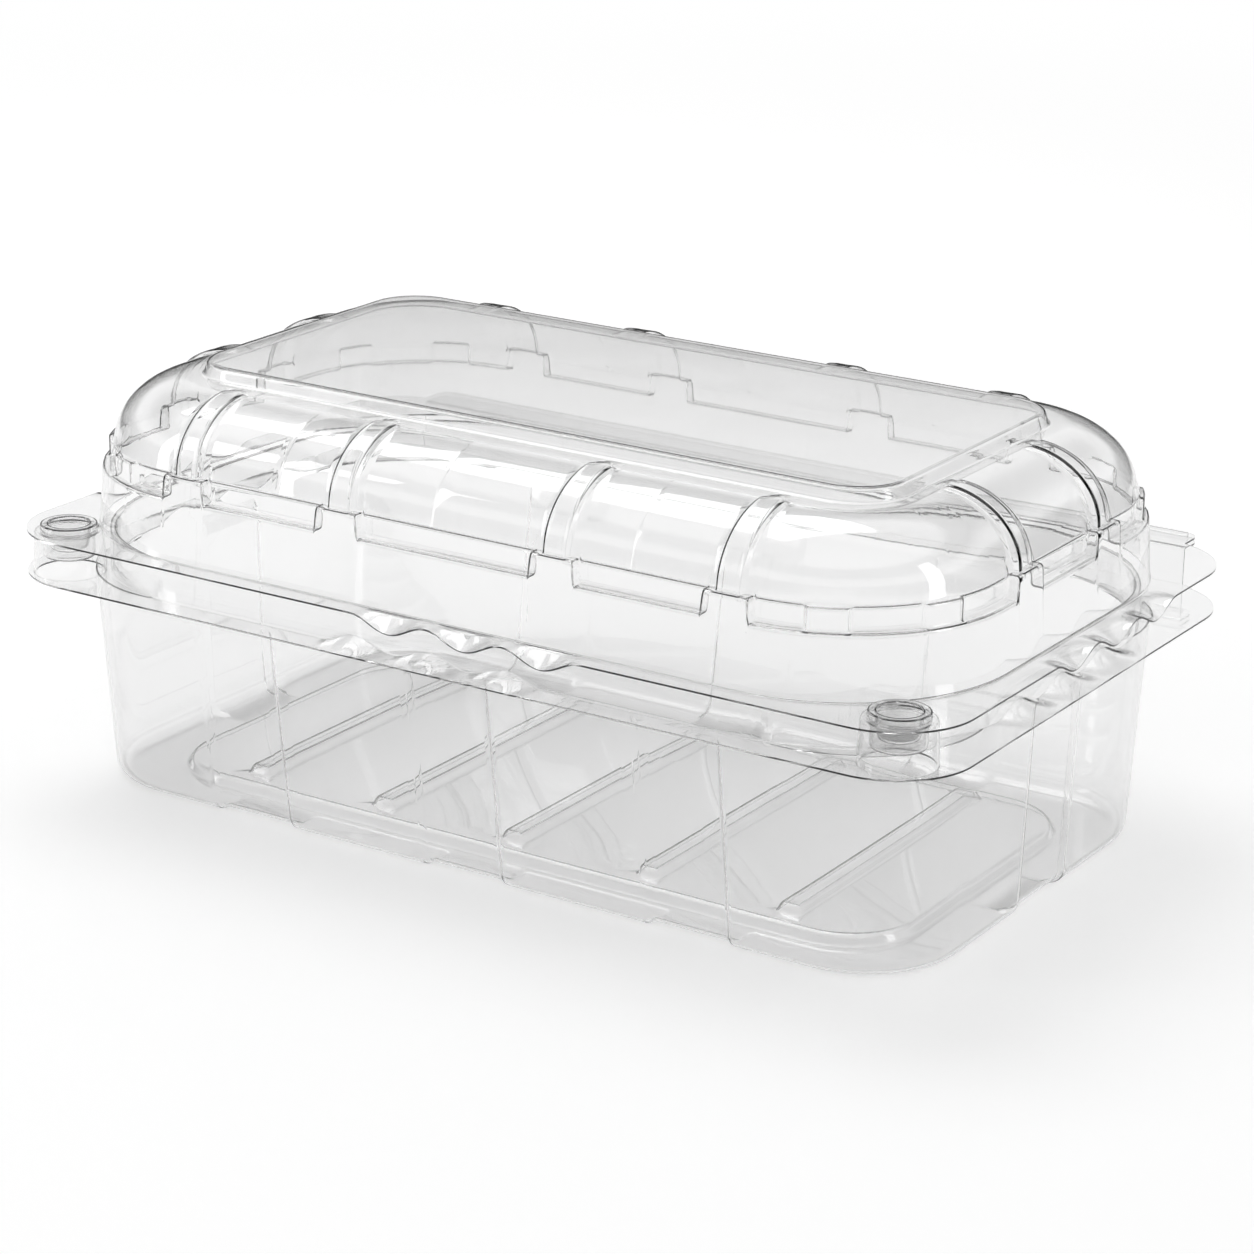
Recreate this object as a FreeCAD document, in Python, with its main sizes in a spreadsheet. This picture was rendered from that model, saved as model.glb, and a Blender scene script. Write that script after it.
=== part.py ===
"""Hinged clamshell pack, thermoformed from one clear sheet: a drafted tray and a domed lid.

Frame: millimetres, X along the long side, the hinge at +Y, +Z up. The origin is under the middle
of the whole pack, on the surface that it stands on. The forms below are laid out about the middle
of the tray, and each finished piece is then moved back by half of what the hinge adds in Y.
"""
import FreeCAD, Part
import math
import os
import Sketcher
from FreeCAD import Rotation, Vector

os.makedirs("parts", exist_ok=True)
doc = FreeCAD.newDocument("clamshell_pack")

# Driving dimensions
DIMENSIONS = (
    ("sheet", 0.4, "thickness of the formed sheet"),
    ("flange_length", 230.0, "overall length, over the flanges"),
    ("flange_width", 142.0, "width over the flanges, without the hinge tongue"),
    ("flange_corner", 17.6, "corner radius of both flanges"),
    ("tray_depth", 49.3, "height of the tray's flange"),
    ("flange_gap", 9.6, "from the tray's flange up to the lid's"),
    ("lid_border_x", 6.0, "lid flange width at the short sides"),
    ("lid_border_y", 4.7, "lid flange width at the long sides"),
    ("lid_corner", 37.6, "corner radius of the lid's wall"),
    ("lid_draft", 1.0, "how far the lid's lower wall leans in"),
    ("ledge_rise", 13.6, "from the lid's flange up to the foot of the bands"),
    ("band_depth", 2.8, "how far the bands are set back from the wall"),
    ("band_rise", 5.0, "height of the bands and posts"),
    ("shoulder_reach", 16.5, "how far the rounded shoulder runs in"),
    ("shoulder_rise", 14.0, "how far the rounded shoulder rises"),
    ("panel_length", 172.4, "length of the raised top panel, at its foot"),
    ("panel_width", 82.0, "width of the raised top panel, at its foot"),
    ("panel_corner", 12.0, "corner radius of the raised top panel"),
    ("panel_lean", 0.9, "how far the panel's edge leans in"),
    ("panel_rise", 3.0, "height of the raised top panel"),
    ("flute_pitch", 40.0, "spacing of the flutes, long sides"),
    ("flute_middle", 53.0, "spacing of the two middle flutes, long sides"),
    ("end_flute_spacing", 35.0, "spacing of the two flutes, short sides"),
    ("flute_width", 6.0, "width of a flute"),
    ("flute_height", 1.5, "how far a flute stands proud at its foot"),
    ("flute_top", 0.8, "how far a flute stands proud at its top"),
    ("post_width", 10.6, "width of a post between two bands"),
    ("pad_width", 8.8, "width of a pad in the band round a corner"),
    ("pad_height", 1.7, "how far such a pad stands proud of the band"),
    ("pad_angle", 39.0, "angle between the two pads of a corner"),
    ("collar_width", 1.6, "width of the tray's folded collar"),
    ("collar_clearance", 0.35, "between the collar and the lid's wall"),
    ("collar_drop", 0.3, "from the lid flange's underside down to the collar"),
    ("mouth_corner", 40.0, "corner radius of the collar"),
    ("wall_corner", 28.0, "corner radius of the tray's wall, under its flange"),
    ("foot_length", 211.0, "length of the tray's foot"),
    ("foot_width", 116.4, "width of the tray's foot"),
    ("foot_corner", 23.0, "corner radius of the tray's foot"),
    ("foot_edge", 4.0, "rounding between wall and floor"),
    ("foot_ring", 14.0, "from the wall's foot in to the raised floor"),
    ("floor_rise", 2.2, "how far the raised floor stands up"),
    ("floor_corner", 16.0, "corner radius of the raised floor"),
    ("rib_count", 5, "cross ribs in the floor"),
    ("rib_pitch", 34.0, "spacing of the cross ribs"),
    ("rib_width", 5.0, "width of a cross rib"),
    ("rib_rise", 4.0, "height of a cross rib's top over the ground"),
    ("rib_margin", 5.0, "from the raised floor's edge to a rib's end"),
    ("pilaster_width", 19.5, "width of a set-back strip in the tray's wall"),
    ("pilaster_depth", 0.8, "how far it is set back"),
    ("pilaster_pitch", 55.0, "spacing of these strips, long sides"),
    ("button_inset_x", 12.3, "from the flange's end in to a button"),
    ("button_inset_y", 10.8, "from the flange's side in to a button"),
    ("boss_foot_radius", 8.0, "tray boss, at its foot"),
    ("boss_top_radius", 7.6, "tray boss, at its top"),
    ("boss_drop", 0.1, "from the lid flange's underside down to a boss"),
    ("plug_radius", 4.9, "lid plug, at its top"),
    ("plug_tip_radius", 4.2, "lid plug, at its tip"),
    ("plug_length", 4.6, "lid plug, below the flange's top"),
    ("plug_clearance", 0.35, "between a plug and its socket"),
    ("socket_spare", 1.2, "free depth under a plug"),
    ("ring_radius", 6.2, "raised ring round a plug"),
    ("ring_rise", 1.2, "height of that ring over the lid's flange"),
    ("tongue_length", 203.0, "length of the hinge tongue"),
    ("tongue_reach", 7.4, "from the flange out to the crease"),
    ("tongue_overlap", 2.5, "how far the tongue's layers run into the flanges"),
    ("crease_gap", 0.85, "between the tongue's two layers"),
    ("vent_pitch", 18.6, "length of one vent wave"),
    ("vent_count", 3, "waves in a vent"),
    ("lid_vent_depth", 3.0, "how far the lid's flange dips"),
    ("tray_vent_height", 2.5, "how far the tray's flange rises"),
    ("lid_vent_shift", 9.3, "middle of the lid's waves, from the side's middle"),
    ("tray_vent_shift", -2.7, "middle of the tray's waves, from the side's middle"),
)

sheet_cells = doc.addObject("Spreadsheet::Sheet", "sizes")
for row, (alias, number, note) in enumerate(DIMENSIONS, start=1):
    sheet_cells.set(f"A{row}", note)
    sheet_cells.set(f"B{row}", str(number))
    sheet_cells.setAlias(f"B{row}", alias)
doc.recompute()

ALIASES = {alias for alias, number, note in DIMENSIONS}


def size(alias):
    """The value of one driving dimension, as the sheet holds it."""
    return float(sheet_cells.get(alias))


def bound(words):
    """An expression over aliases, with each alias pointed at the sheet."""
    out, word = [], ""
    for letter in words + " ":
        if letter.isalnum() or letter in "_.":
            word += letter
            continue
        out.append("sizes." + word if word in ALIASES else word)
        out.append(letter)
        word = ""
    return "".join(out).strip()


def bind(thing, prop, words):
    thing.setExpression(prop, bound(words))


def value(words):
    """What an expression over aliases comes to now."""
    return float(FreeCAD.Units.Quantity(str(sheet_cells.evalExpression(bound(words)))))


# Shared levels and half sizes, as expressions over the driving dimensions
FLANGE_X = "(flange_length / 2)"
FLANGE_Y = "(flange_width / 2)"
LID_Z = "(tray_depth + flange_gap)"
WALL_X = f"({FLANGE_X} - lid_border_x)"
WALL_Y = f"({FLANGE_Y} - lid_border_y)"
LEDGE_Z = f"({LID_Z} + ledge_rise)"
BAND_Z = f"({LEDGE_Z} + band_rise)"
BAND_FOOT = "(lid_draft + band_depth)"
SHOULDER_Z = f"({BAND_Z} + shoulder_rise)"
SHOULDER_TOP = f"({BAND_FOOT} + shoulder_reach)"
COLLAR_X = f"({WALL_X} - sheet - collar_clearance)"
COLLAR_Y = f"({WALL_Y} - sheet - collar_clearance)"
COLLAR_Z = f"({LID_Z} - sheet - collar_drop)"
MOUTH_INSET = "(collar_width - sheet)"
FOOT_X = "(foot_length / 2)"
FOOT_Y = "(foot_width / 2)"
BUTTON_X = f"({FLANGE_X} - button_inset_x)"
BUTTON_Y = f"({FLANGE_Y} - button_inset_y)"
BOSS_Z = f"({LID_Z} - sheet - boss_drop)"
HINGE_Y = f"({FLANGE_Y} + tongue_reach)"
TONGUE_Z = f"({LID_Z} - sheet - crease_gap)"
CREASE_Z = f"({LID_Z} - sheet - crease_gap / 2)"
CREASE_RADIUS = "(crease_gap / 2 + sheet)"
MIDDLE_Y = f"(({HINGE_Y} + {CREASE_RADIUS} - {FLANGE_Y}) / 2)"
OVERSHOOT = "1"


def outline(name, half_x, half_y, corner, level, middle_y="0"):
    """A rounded rectangle about the Z axis, at one level."""
    sketch = doc.addObject("Sketcher::SketchObject", name)
    wide, deep, round_off = 40.0, 30.0, 10.0
    signs = ((1, 1), (-1, 1), (-1, -1), (1, -1))
    for k, (sx, sy) in enumerate(signs):
        middle = Vector(sx * (wide - round_off), sy * (deep - round_off), 0)
        circle = Part.Circle(middle, Vector(0, 0, 1), round_off)
        sketch.addGeometry(Part.ArcOfCircle(circle, k * math.pi / 2, (k + 1) * math.pi / 2))
    for k in range(4):
        ends = (sketch.Geometry[k].EndPoint, sketch.Geometry[(k + 1) % 4].StartPoint)
        sketch.addGeometry(Part.LineSegment(*ends))
    for k in range(4):
        sketch.addConstraint(Sketcher.Constraint("Tangent", k, 2, 4 + k, 1))
        sketch.addConstraint(Sketcher.Constraint("Tangent", 4 + k, 2, (k + 1) % 4, 1))
        direction = "Horizontal" if k % 2 == 0 else "Vertical"
        sketch.addConstraint(Sketcher.Constraint(direction, 4 + k))
    for k in range(3):
        sketch.addConstraint(Sketcher.Constraint("Equal", k, k + 1))
    sketch.addConstraint(Sketcher.Constraint("Symmetric", 0, 3, 2, 3, -1, 1))
    driven = (
        ("corner", Sketcher.Constraint("Radius", 0, round_off), corner),
        ("reach_x", Sketcher.Constraint("DistanceX", -1, 1, 0, 3, wide - round_off),
         f"{half_x} - ({corner})"),
        ("reach_y", Sketcher.Constraint("DistanceY", -1, 1, 0, 3, deep - round_off),
         f"{half_y} - ({corner})"),
    )
    for label, constraint, words in driven:
        sketch.renameConstraint(sketch.addConstraint(constraint), label)
        bind(sketch, "Constraints." + label, words)
    bind(sketch, "Placement.Base.y", middle_y)
    bind(sketch, "Placement.Base.z", level)
    return sketch


def loft(name, sections, ruled=True):
    """A solid through (half_x, half_y, corner, level) sections."""
    thing = doc.addObject("Part::Loft", name)
    thing.Sections = [outline(f"{name}_section_{k}", *s) for k, s in enumerate(sections)]
    thing.Solid = True
    thing.Ruled = ruled
    return thing


def prism(name, half_x, half_y, corner, low, high, middle_y="0"):
    """A rounded rectangle between two levels."""
    thing = doc.addObject("Part::Extrusion", name)
    thing.Base = outline(f"{name}_outline", half_x, half_y, corner, low, middle_y)
    thing.DirMode = "Custom"
    thing.Dir = Vector(0, 0, 1)
    thing.Solid = True
    bind(thing, "LengthFwd", f"{high} - ({low})")
    return thing


def block(name, x, y, z):
    """A box from (low, high) expressions along each axis."""
    thing = doc.addObject("Part::Box", name)
    for prop, axis, (low, high) in zip(("Length", "Width", "Height"), "xyz", (x, y, z)):
        bind(thing, prop, f"{high} - ({low})")
        bind(thing, "Placement.Base." + axis, low)
    return thing


def cone(name, foot_radius, top_radius, low, high, at):
    """A cone on the Z direction, at (x, y) expressions."""
    thing = doc.addObject("Part::Cone", name)
    for prop, words in (("Radius1", foot_radius), ("Radius2", top_radius),
                        ("Height", f"{high} - ({low})"), ("Placement.Base.x", at[0]),
                        ("Placement.Base.y", at[1]), ("Placement.Base.z", low)):
        bind(thing, prop, words)
    return thing


def cylinder(name, radius, low, high, at):
    thing = doc.addObject("Part::Cylinder", name)
    for prop, words in (("Radius", radius), ("Height", f"{high} - ({low})"),
                        ("Placement.Base.x", at[0]), ("Placement.Base.y", at[1]),
                        ("Placement.Base.z", low)):
        bind(thing, prop, words)
    return thing


def fuse(name, parts):
    thing = doc.addObject("Part::MultiFuse", name)
    thing.Shapes = parts
    return thing


def cut(name, base, tool):
    thing = doc.addObject("Part::Cut", name)
    thing.Base, thing.Tool = base, tool
    return thing


def common(name, base, tool):
    thing = doc.addObject("Part::Common", name)
    thing.Base, thing.Tool = base, tool
    return thing


def bars(name, width, long_places, short_places, low, high, stops=("0", "0")):
    """Bars over the pack's sides: at each place along X and along Y, one each way out from a stop."""
    made = []
    for half, stop, places in ((FLANGE_Y, stops[1], long_places), (FLANGE_X, stops[0], short_places)):
        far = f"({half} + {OVERSHOOT})"
        for k, place in enumerate(places):
            across = (f"{place} - ({width}) / 2", f"{place} + ({width}) / 2")
            for run in ((stop, far), (f"-{far}", f"-({stop})")):
                x, y = (across, run) if half == FLANGE_Y else (run, across)
                made.append(block(f"{name}_{len(made)}", x, y, (low, high)))
    return fuse(name, made)


def corner_bars(name, width, low, high):
    """Bars that point out from the middle of each corner's arc, two to a corner."""
    made = []
    for sx, sy in CORNERS:
        at = (f"{sx} * ({WALL_X} - lid_corner)", f"{sy} * ({WALL_Y} - lid_corner)")
        for side in (-1, 1):
            turn = f"({math.degrees(math.atan2(sy, sx)):g} + {side} * pad_angle / 2)"
            bar = doc.addObject("Part::Box", f"{name}_{len(made)}")
            bar.Placement = FreeCAD.Placement(Vector(), Rotation(Vector(0, 0, 1), 1))
            for prop, words in (
                    ("Length", f"lid_corner + {OVERSHOOT}"), ("Width", width),
                    ("Height", f"{high} - ({low})"), ("Placement.Rotation.Angle", f"{turn} * 1 deg"),
                    ("Placement.Base.x", f"{at[0]} + sin({turn} * 1 deg) * ({width}) / 2"),
                    ("Placement.Base.y", f"{at[1]} - cos({turn} * 1 deg) * ({width}) / 2"),
                    ("Placement.Base.z", low)):
                bind(bar, prop, words)
            made.append(bar)
    return fuse(name, made)


def vent(name, side, middle, flat_line, wavy_line, level, lift):
    """One vent: a strip of flange between a straight line and a wavy one, lift high at its crests.

    side is the outward direction; the lines are distances from the pack's middle along it.
    """
    pitch, count = size("vent_pitch"), int(size("vent_count"))
    along = Vector(0, 0, 1).cross(side)
    steps = VENT_STEPS * count
    down = Vector(0, 0, -size("sheet"))

    def corner(k, distance, height):
        wave = height * (1 - math.cos(2 * math.pi * k / VENT_STEPS)) / 2
        place = middle + pitch * count * (k / steps - 0.5)
        return side * distance + along * place + Vector(0, 0, level + wave)

    flat = [corner(k, flat_line, 0.0) for k in range(steps + 1)]
    wavy = [corner(k, wavy_line, lift) for k in range(steps + 1)]
    faces = [(flat[k], flat[k] + down, wavy[k] + down, wavy[k]) for k in (0, steps)]
    for k in range(steps):
        for drop in (Vector(), down):
            faces.append((flat[k] + drop, flat[k + 1] + drop, wavy[k + 1] + drop))
            faces.append((flat[k] + drop, wavy[k + 1] + drop, wavy[k] + drop))
        for line in (flat, wavy):
            faces.append((line[k], line[k + 1], line[k + 1] + down, line[k] + down))
    skin = Part.makeShell([Part.Face(Part.makePolygon(list(f) + [f[0]])) for f in faces])
    strip = doc.addObject("Part::Feature", name)
    strip.Shape = Part.makeSolid(skin)
    return strip


FLUTES_LONG = [f"{sign}(flute_middle / 2{step})"
               for sign in ("-", "") for step in ("", " + flute_pitch")]
FLUTES_SHORT = ["-(end_flute_spacing / 2)", "(end_flute_spacing / 2)"]
PILASTERS_LONG = ["-pilaster_pitch", "0", "pilaster_pitch"]
CORNERS = [(sx, sy) for sx in (-1, 1) for sy in (-1, 1)]
SNAP_CORNERS = [(sx, -1) for sx in (-1, 1)]
VENTED_SIDES = (("y", -1), ("x", 1), ("x", -1))
SHOULDER_STEPS = 4
FOOT_STEPS = 3
VENT_STEPS = 8


def button_places():
    """The snap buttons sit in the two front corners, away from the hinge."""
    for k, (sx, sy) in enumerate(SNAP_CORNERS):
        yield k, (f"{sx} * {BUTTON_X}", f"{sy} * {BUTTON_Y}")


def tray_form(name, inside):
    """The tray's hollow form, solid, its skin set in by inside: the sheet lies between two of them."""
    def walls(label, inset):
        """Sections of the drafted wall, with its rounded foot, set in by inset."""
        edge = f"(foot_edge - {inside})"
        out = []
        for k in range(FOOT_STEPS + 1):
            turn = f"({90 * k / FOOT_STEPS:g} deg)"
            back = f"({inset} + (1 - sin{turn}) * {edge})"
            out.append((f"{FOOT_X} - {back}", f"{FOOT_Y} - {back}", f"foot_corner - {back}",
                        f"{inside} + (1 - cos{turn}) * {edge}"))
        back = f"({inset} + {MOUTH_INSET})"
        out.append((f"{COLLAR_X} - {back}", f"{COLLAR_Y} - {back}", f"wall_corner - {inset}",
                    f"tray_depth - {inside}"))
        return loft(label, out)

    body = walls(f"{name}_wall", inside)
    strips = cut(f"{name}_strips",
                 bars(f"{name}_strip_bars", f"pilaster_width + 2 * {inside}", PILASTERS_LONG,
                      ["0"], "foot_edge", "tray_depth - sheet"),
                 walls(f"{name}_set_back_wall", f"({inside} + pilaster_depth)"))
    field_x, field_y = f"({FOOT_X} - foot_ring)", f"({FOOT_Y} - foot_ring)"
    floor = [prism(f"{name}_floor", f"{field_x} + {inside}", f"{field_y} + {inside}",
                   f"floor_corner + {inside}", f"-{OVERSHOOT}", f"floor_rise + {inside}")]
    count = int(size("rib_count"))
    for k in range(count):
        place = f"({k} - {(count - 1) / 2}) * rib_pitch"
        half = f"(rib_width / 2 + {inside})"
        end = f"({field_y} - rib_margin + {inside})"
        floor.append(block(f"{name}_rib_{k}", (f"{place} - {half}", f"{place} + {half}"),
                           (f"-{end}", end), (f"-{OVERSHOOT}", f"rib_rise + {inside}")))
    return cut(name, body, fuse(f"{name}_relief", [strips] + floor))


def vents(name, sides, shift, flat_lines, wavy_lines, level, lift):
    """The vents of one flange, and the boxes of flat flange that they take the place of."""
    strips, places = [], []
    half = "(vent_pitch * vent_count / 2)"
    level_z = (f"{level} - sheet - {OVERSHOOT}", f"{level} + {OVERSHOOT}")
    for k, (axis, sign) in enumerate(sides):
        turn = 1 if (axis, sign) in (("y", -1), ("x", 1)) else -1
        side = Vector(sign, 0, 0) if axis == "x" else Vector(0, sign, 0)
        strips.append(vent(f"{name}_{k}", side, size(shift), value(flat_lines[axis]),
                           value(wavy_lines[axis]), value(level), lift))
        run = (f"{turn} * {shift} - {half}", f"{turn} * {shift} + {half}")
        near = min((flat_lines[axis], wavy_lines[axis]), key=value)
        far = f"({FLANGE_X if axis == 'x' else FLANGE_Y} + {OVERSHOOT})"
        out = (f"{near} + sheet / 2", far) if sign > 0 else (f"-{far}", f"-{near} - sheet / 2")
        x, y = (out, run) if axis == "x" else (run, out)
        places.append(block(f"{name}_place_{k}", x, y, level_z))
    return strips, fuse(f"{name}_places", places)


def make_tray():
    """Tray, collar, flange, bosses and the lower layer of the hinge tongue, from one sheet."""
    back = f"({MOUTH_INSET} + sheet)"
    below = f"(tray_depth - sheet - {OVERSHOOT} / 2)"
    under = f"({COLLAR_Z} - sheet)"
    fold = cut("collar_fold",
               prism("collar_fold_outer", f"{COLLAR_X} - sheet", f"{COLLAR_Y} - sheet",
                     "mouth_corner - sheet", below, under),
               prism("collar_fold_inner", f"{COLLAR_X} - {MOUTH_INSET}",
                    f"{COLLAR_Y} - {MOUTH_INSET}", f"mouth_corner - {MOUTH_INSET}", below, under))
    strips, places = vents("tray_vent", VENTED_SIDES, "tray_vent_shift",
                           {"x": FLANGE_X, "y": FLANGE_Y},
                           {"x": f"({COLLAR_X} - sheet / 2)", "y": f"({COLLAR_Y} - sheet / 2)"},
                           "tray_depth", size("tray_vent_height"))
    flange = prism("tray_flange", FLANGE_X, FLANGE_Y, "flange_corner",
                   "tray_depth - sheet", "tray_depth")
    long_run = ("-tongue_length / 2", "tongue_length / 2")
    solid = [
        tray_form("tray_outer", "0"),
        prism("collar_outer", COLLAR_X, COLLAR_Y, "mouth_corner", "tray_depth - sheet", COLLAR_Z),
        cut("tray_flange_open", flange, places),
        block("tongue_seat", long_run, (f"{FLANGE_Y} - tongue_overlap", FLANGE_Y),
              ("tray_depth - sheet", "tray_depth")),
        block("tongue_leg", long_run, (f"{FLANGE_Y} - sheet", FLANGE_Y),
              ("tray_depth - sheet", TONGUE_Z)),
        block("tongue_lower", long_run, (f"{FLANGE_Y} - sheet", HINGE_Y),
              (f"{TONGUE_Z} - sheet", TONGUE_Z)),
    ] + strips
    hollow = [
        tray_form("tray_inner", "sheet"),
        prism("collar_mouth", f"{COLLAR_X} - {back}", f"{COLLAR_Y} - {back}",
              f"mouth_corner - {back}", "tray_depth - sheet", f"{COLLAR_Z} + {OVERSHOOT}"),
        fold,
    ]
    bottom = f"({LID_Z} - plug_length - socket_spare)"
    for k, at in button_places():
        solid.append(cone(f"boss_{k}", "boss_foot_radius", "boss_top_radius",
                          "tray_depth - sheet", BOSS_Z, at))
        under_boss = cone(f"boss_hollow_{k}", "boss_foot_radius - sheet", "boss_top_radius - sheet",
                          f"tray_depth - sheet - {OVERSHOOT}", f"{BOSS_Z} - sheet", at)
        socket_wall = cylinder(f"socket_wall_{k}", "plug_radius + plug_clearance + sheet",
                               f"{bottom} - sheet", BOSS_Z, at)
        hollow.append(cut(f"boss_space_{k}", under_boss, socket_wall))
        hollow.append(cylinder(f"socket_{k}", "plug_radius + plug_clearance", bottom,
                               f"{BOSS_Z} + {OVERSHOOT}", at))
    return cut("base_tray", fuse("tray_solid", solid), fuse("tray_hollow", hollow))


def lid_form(name, inside, below):
    """The lid's hollow form, solid, its skin set in by inside, its wall run on down by below."""
    wall_x, wall_y = f"({WALL_X} - {inside})", f"({WALL_Y} - {inside})"
    corner = f"(lid_corner - {inside})"

    def section(back, level):
        return f"{wall_x} - {back}", f"{wall_y} - {back}", f"{corner} - {back}", level

    def shoulder(label, foot, lift):
        """The rounded shoulder, from its foot up and in to where the top begins, lift higher."""
        reach = f"({SHOULDER_TOP} - {inside} - {foot})"
        out = []
        for k in range(SHOULDER_STEPS + 1):
            turn = f"({90 * k / SHOULDER_STEPS:g} deg)"
            out.append(section(f"({foot} + (1 - cos{turn}) * {reach})",
                               f"{BAND_Z} + sin{turn} * (shoulder_rise - {inside} + {lift})"))
        return loft(label, out, ruled=False)

    ledge, band_top = f"({LEDGE_Z} - {inside})", f"({BAND_Z} - {inside})"
    flute_foot = f"({BAND_FOOT} - flute_height)"
    post_bars = bars(f"{name}_post_bars", f"post_width - 2 * {inside}", FLUTES_LONG, FLUTES_SHORT,
                     f"{ledge} - {OVERSHOOT}", band_top)
    pad_bars = corner_bars(f"{name}_pad_bars", f"(pad_width - 2 * {inside})",
                           f"{ledge} - {OVERSHOOT}", band_top)
    flute_bars = bars(f"{name}_flute_bars", f"flute_width - 2 * {inside}", FLUTES_LONG, FLUTES_SHORT,
                      f"{ledge} - {OVERSHOOT}", f"{SHOULDER_Z} + flute_top + {OVERSHOOT}",
                      (f"{WALL_X} - {SHOULDER_TOP} + {inside}", f"{WALL_Y} - {SHOULDER_TOP} + {inside}"))
    flute_skin = fuse(f"{name}_flute_skin", [
        prism(f"{name}_flute_foot", *section(flute_foot, f"{BAND_Z} - {OVERSHOOT}"), BAND_Z),
        shoulder(f"{name}_flute_shoulder", flute_foot, "flute_top"),
    ])
    panel_x, panel_y = f"(panel_length / 2 - {inside})", f"(panel_width / 2 - {inside})"
    panel_corner = f"(panel_corner - {inside})"
    parts = [
        loft(f"{name}_wall", [
            section(f"(-lid_draft * {below} / (ledge_rise + sheet))", f"{LID_Z} - sheet - {below}"),
            section("lid_draft", ledge)]),
        prism(f"{name}_band", *section(BAND_FOOT, f"{ledge} - {OVERSHOOT}"), BAND_Z),
        shoulder(f"{name}_shoulder", BAND_FOOT, "0"),
        common(f"{name}_posts",
               prism(f"{name}_post_wall", *section("lid_draft", f"{ledge} - {OVERSHOOT}"), band_top),
               post_bars),
        common(f"{name}_pads",
               prism(f"{name}_pad_wall",
                     *section(f"({BAND_FOOT} - pad_height)", f"{ledge} - {OVERSHOOT}"), band_top),
               pad_bars),
        common(f"{name}_flutes", flute_skin, flute_bars),
        loft(f"{name}_panel", [
            (panel_x, panel_y, panel_corner, f"{SHOULDER_Z} - {inside} - {OVERSHOOT}"),
            (f"{panel_x} - panel_lean", f"{panel_y} - panel_lean", f"{panel_corner} - panel_lean",
             f"{SHOULDER_Z} + panel_rise - {inside}")]),
    ]
    return fuse(name, parts)


def make_lid():
    """Domed lid with its flange, snap plugs and the upper layer of the hinge tongue, from one sheet."""
    strips, places = vents("lid_vent", VENTED_SIDES, "lid_vent_shift",
                           {"x": f"({WALL_X} - sheet / 2)", "y": f"({WALL_Y} - sheet / 2)"},
                           {"x": FLANGE_X, "y": FLANGE_Y}, LID_Z, -size("lid_vent_depth"))
    dome = cut("lid_dome", lid_form("lid_outer", "0", "0"), lid_form("lid_inner", "sheet", OVERSHOOT))
    flange = cut("lid_flange_ring",
                 prism("lid_flange", FLANGE_X, FLANGE_Y, "flange_corner", f"{LID_Z} - sheet", LID_Z),
                 prism("lid_opening", f"{WALL_X} - sheet / 2", f"{WALL_Y} - sheet / 2",
                       "lid_corner - sheet / 2", f"{LID_Z} - sheet - {OVERSHOOT}",
                       f"{LID_Z} + {OVERSHOOT}"))
    tongue = block("tongue_upper", ("-tongue_length / 2", "tongue_length / 2"),
                   (f"{FLANGE_Y} - tongue_overlap", HINGE_Y), (f"{LID_Z} - sheet", LID_Z))
    solid = [dome, cut("lid_flange_open", flange, places), tongue] + strips
    hollow = []
    top, tip = f"({LID_Z} + ring_rise)", f"({LID_Z} - plug_length)"
    for k, at in button_places():
        solid.append(cylinder(f"ring_{k}", "ring_radius", f"{LID_Z} - sheet / 2", top, at))
        plug = cone(f"plug_{k}", "plug_tip_radius", "plug_radius", tip, f"{top} - sheet / 2", at)
        solid.append(plug)
        ring_space = cylinder(f"ring_space_{k}", "ring_radius - sheet",
                              f"{LID_Z} - sheet - {OVERSHOOT}", f"{top} - sheet", at)
        plug_inside = cone(f"plug_inside_{k}", "plug_tip_radius - sheet", "plug_radius - sheet",
                           f"{tip} + sheet", f"{top} + {OVERSHOOT}", at)
        hollow.append(cut(f"ring_hollow_{k}", ring_space, plug))
        hollow.append(plug_inside)
    return cut("lid", fuse("lid_solid", solid), fuse("lid_hollow", hollow))


def make_crease():
    """The crease that the lid turns on: half a tube between the tongue's two layers."""
    tubes = []
    for name, radius in (("crease_outer", CREASE_RADIUS), ("crease_bore", "crease_gap / 2")):
        tube = doc.addObject("Part::Cylinder", name)
        tube.Placement = FreeCAD.Placement(Vector(), Rotation(Vector(0, 1, 0), 90))
        tube.Angle = 180
        for prop, words in (("Radius", radius), ("Height", "tongue_length"),
                            ("Placement.Base.x", "-tongue_length / 2"),
                            ("Placement.Base.y", HINGE_Y), ("Placement.Base.z", CREASE_Z)):
            bind(tube, prop, words)
        tubes.append(tube)
    return cut("living_hinge", *tubes)


def failed(thing):
    return any(word in thing.State for word in ("Invalid", "Error"))


def sound(shape):
    return not shape.isNull() and shape.isValid() and len(shape.Solids) == 1


sub_parts = (make_tray(), make_lid(), make_crease())
for sub_part in sub_parts:
    sub_part.Label = sub_part.Name
    bind(sub_part, "Placement.Base.y", f"-{MIDDLE_Y}")
doc.recompute()
bad = [thing.Name for thing in doc.Objects if failed(thing)]
bad += [sub_part.Name for sub_part in sub_parts if not sound(sub_part.Shape)]
if bad:
    raise RuntimeError(f"these objects failed: {bad}")
for sub_part in sub_parts:
    sub_part.Shape.exportStep(f"parts/{sub_part.Label}.step")
    box = sub_part.Shape.BoundBox
    print(sub_part.Label, f"{sub_part.Shape.Volume:.0f} mm3", box)
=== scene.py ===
"""Looks of the hinged clamshell pack: a tray and a domed lid, thermoformed from one clear sheet.

Each moulding is drawn as the skin of its sheet, by rings of points that follow the same outlines
and levels as the solids, with every fold rounded. The skin is then given the sheet's thickness.
Lengths are in millimetres in the functions below and in metres in the panel and in the meshes.
"""
import math

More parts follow.
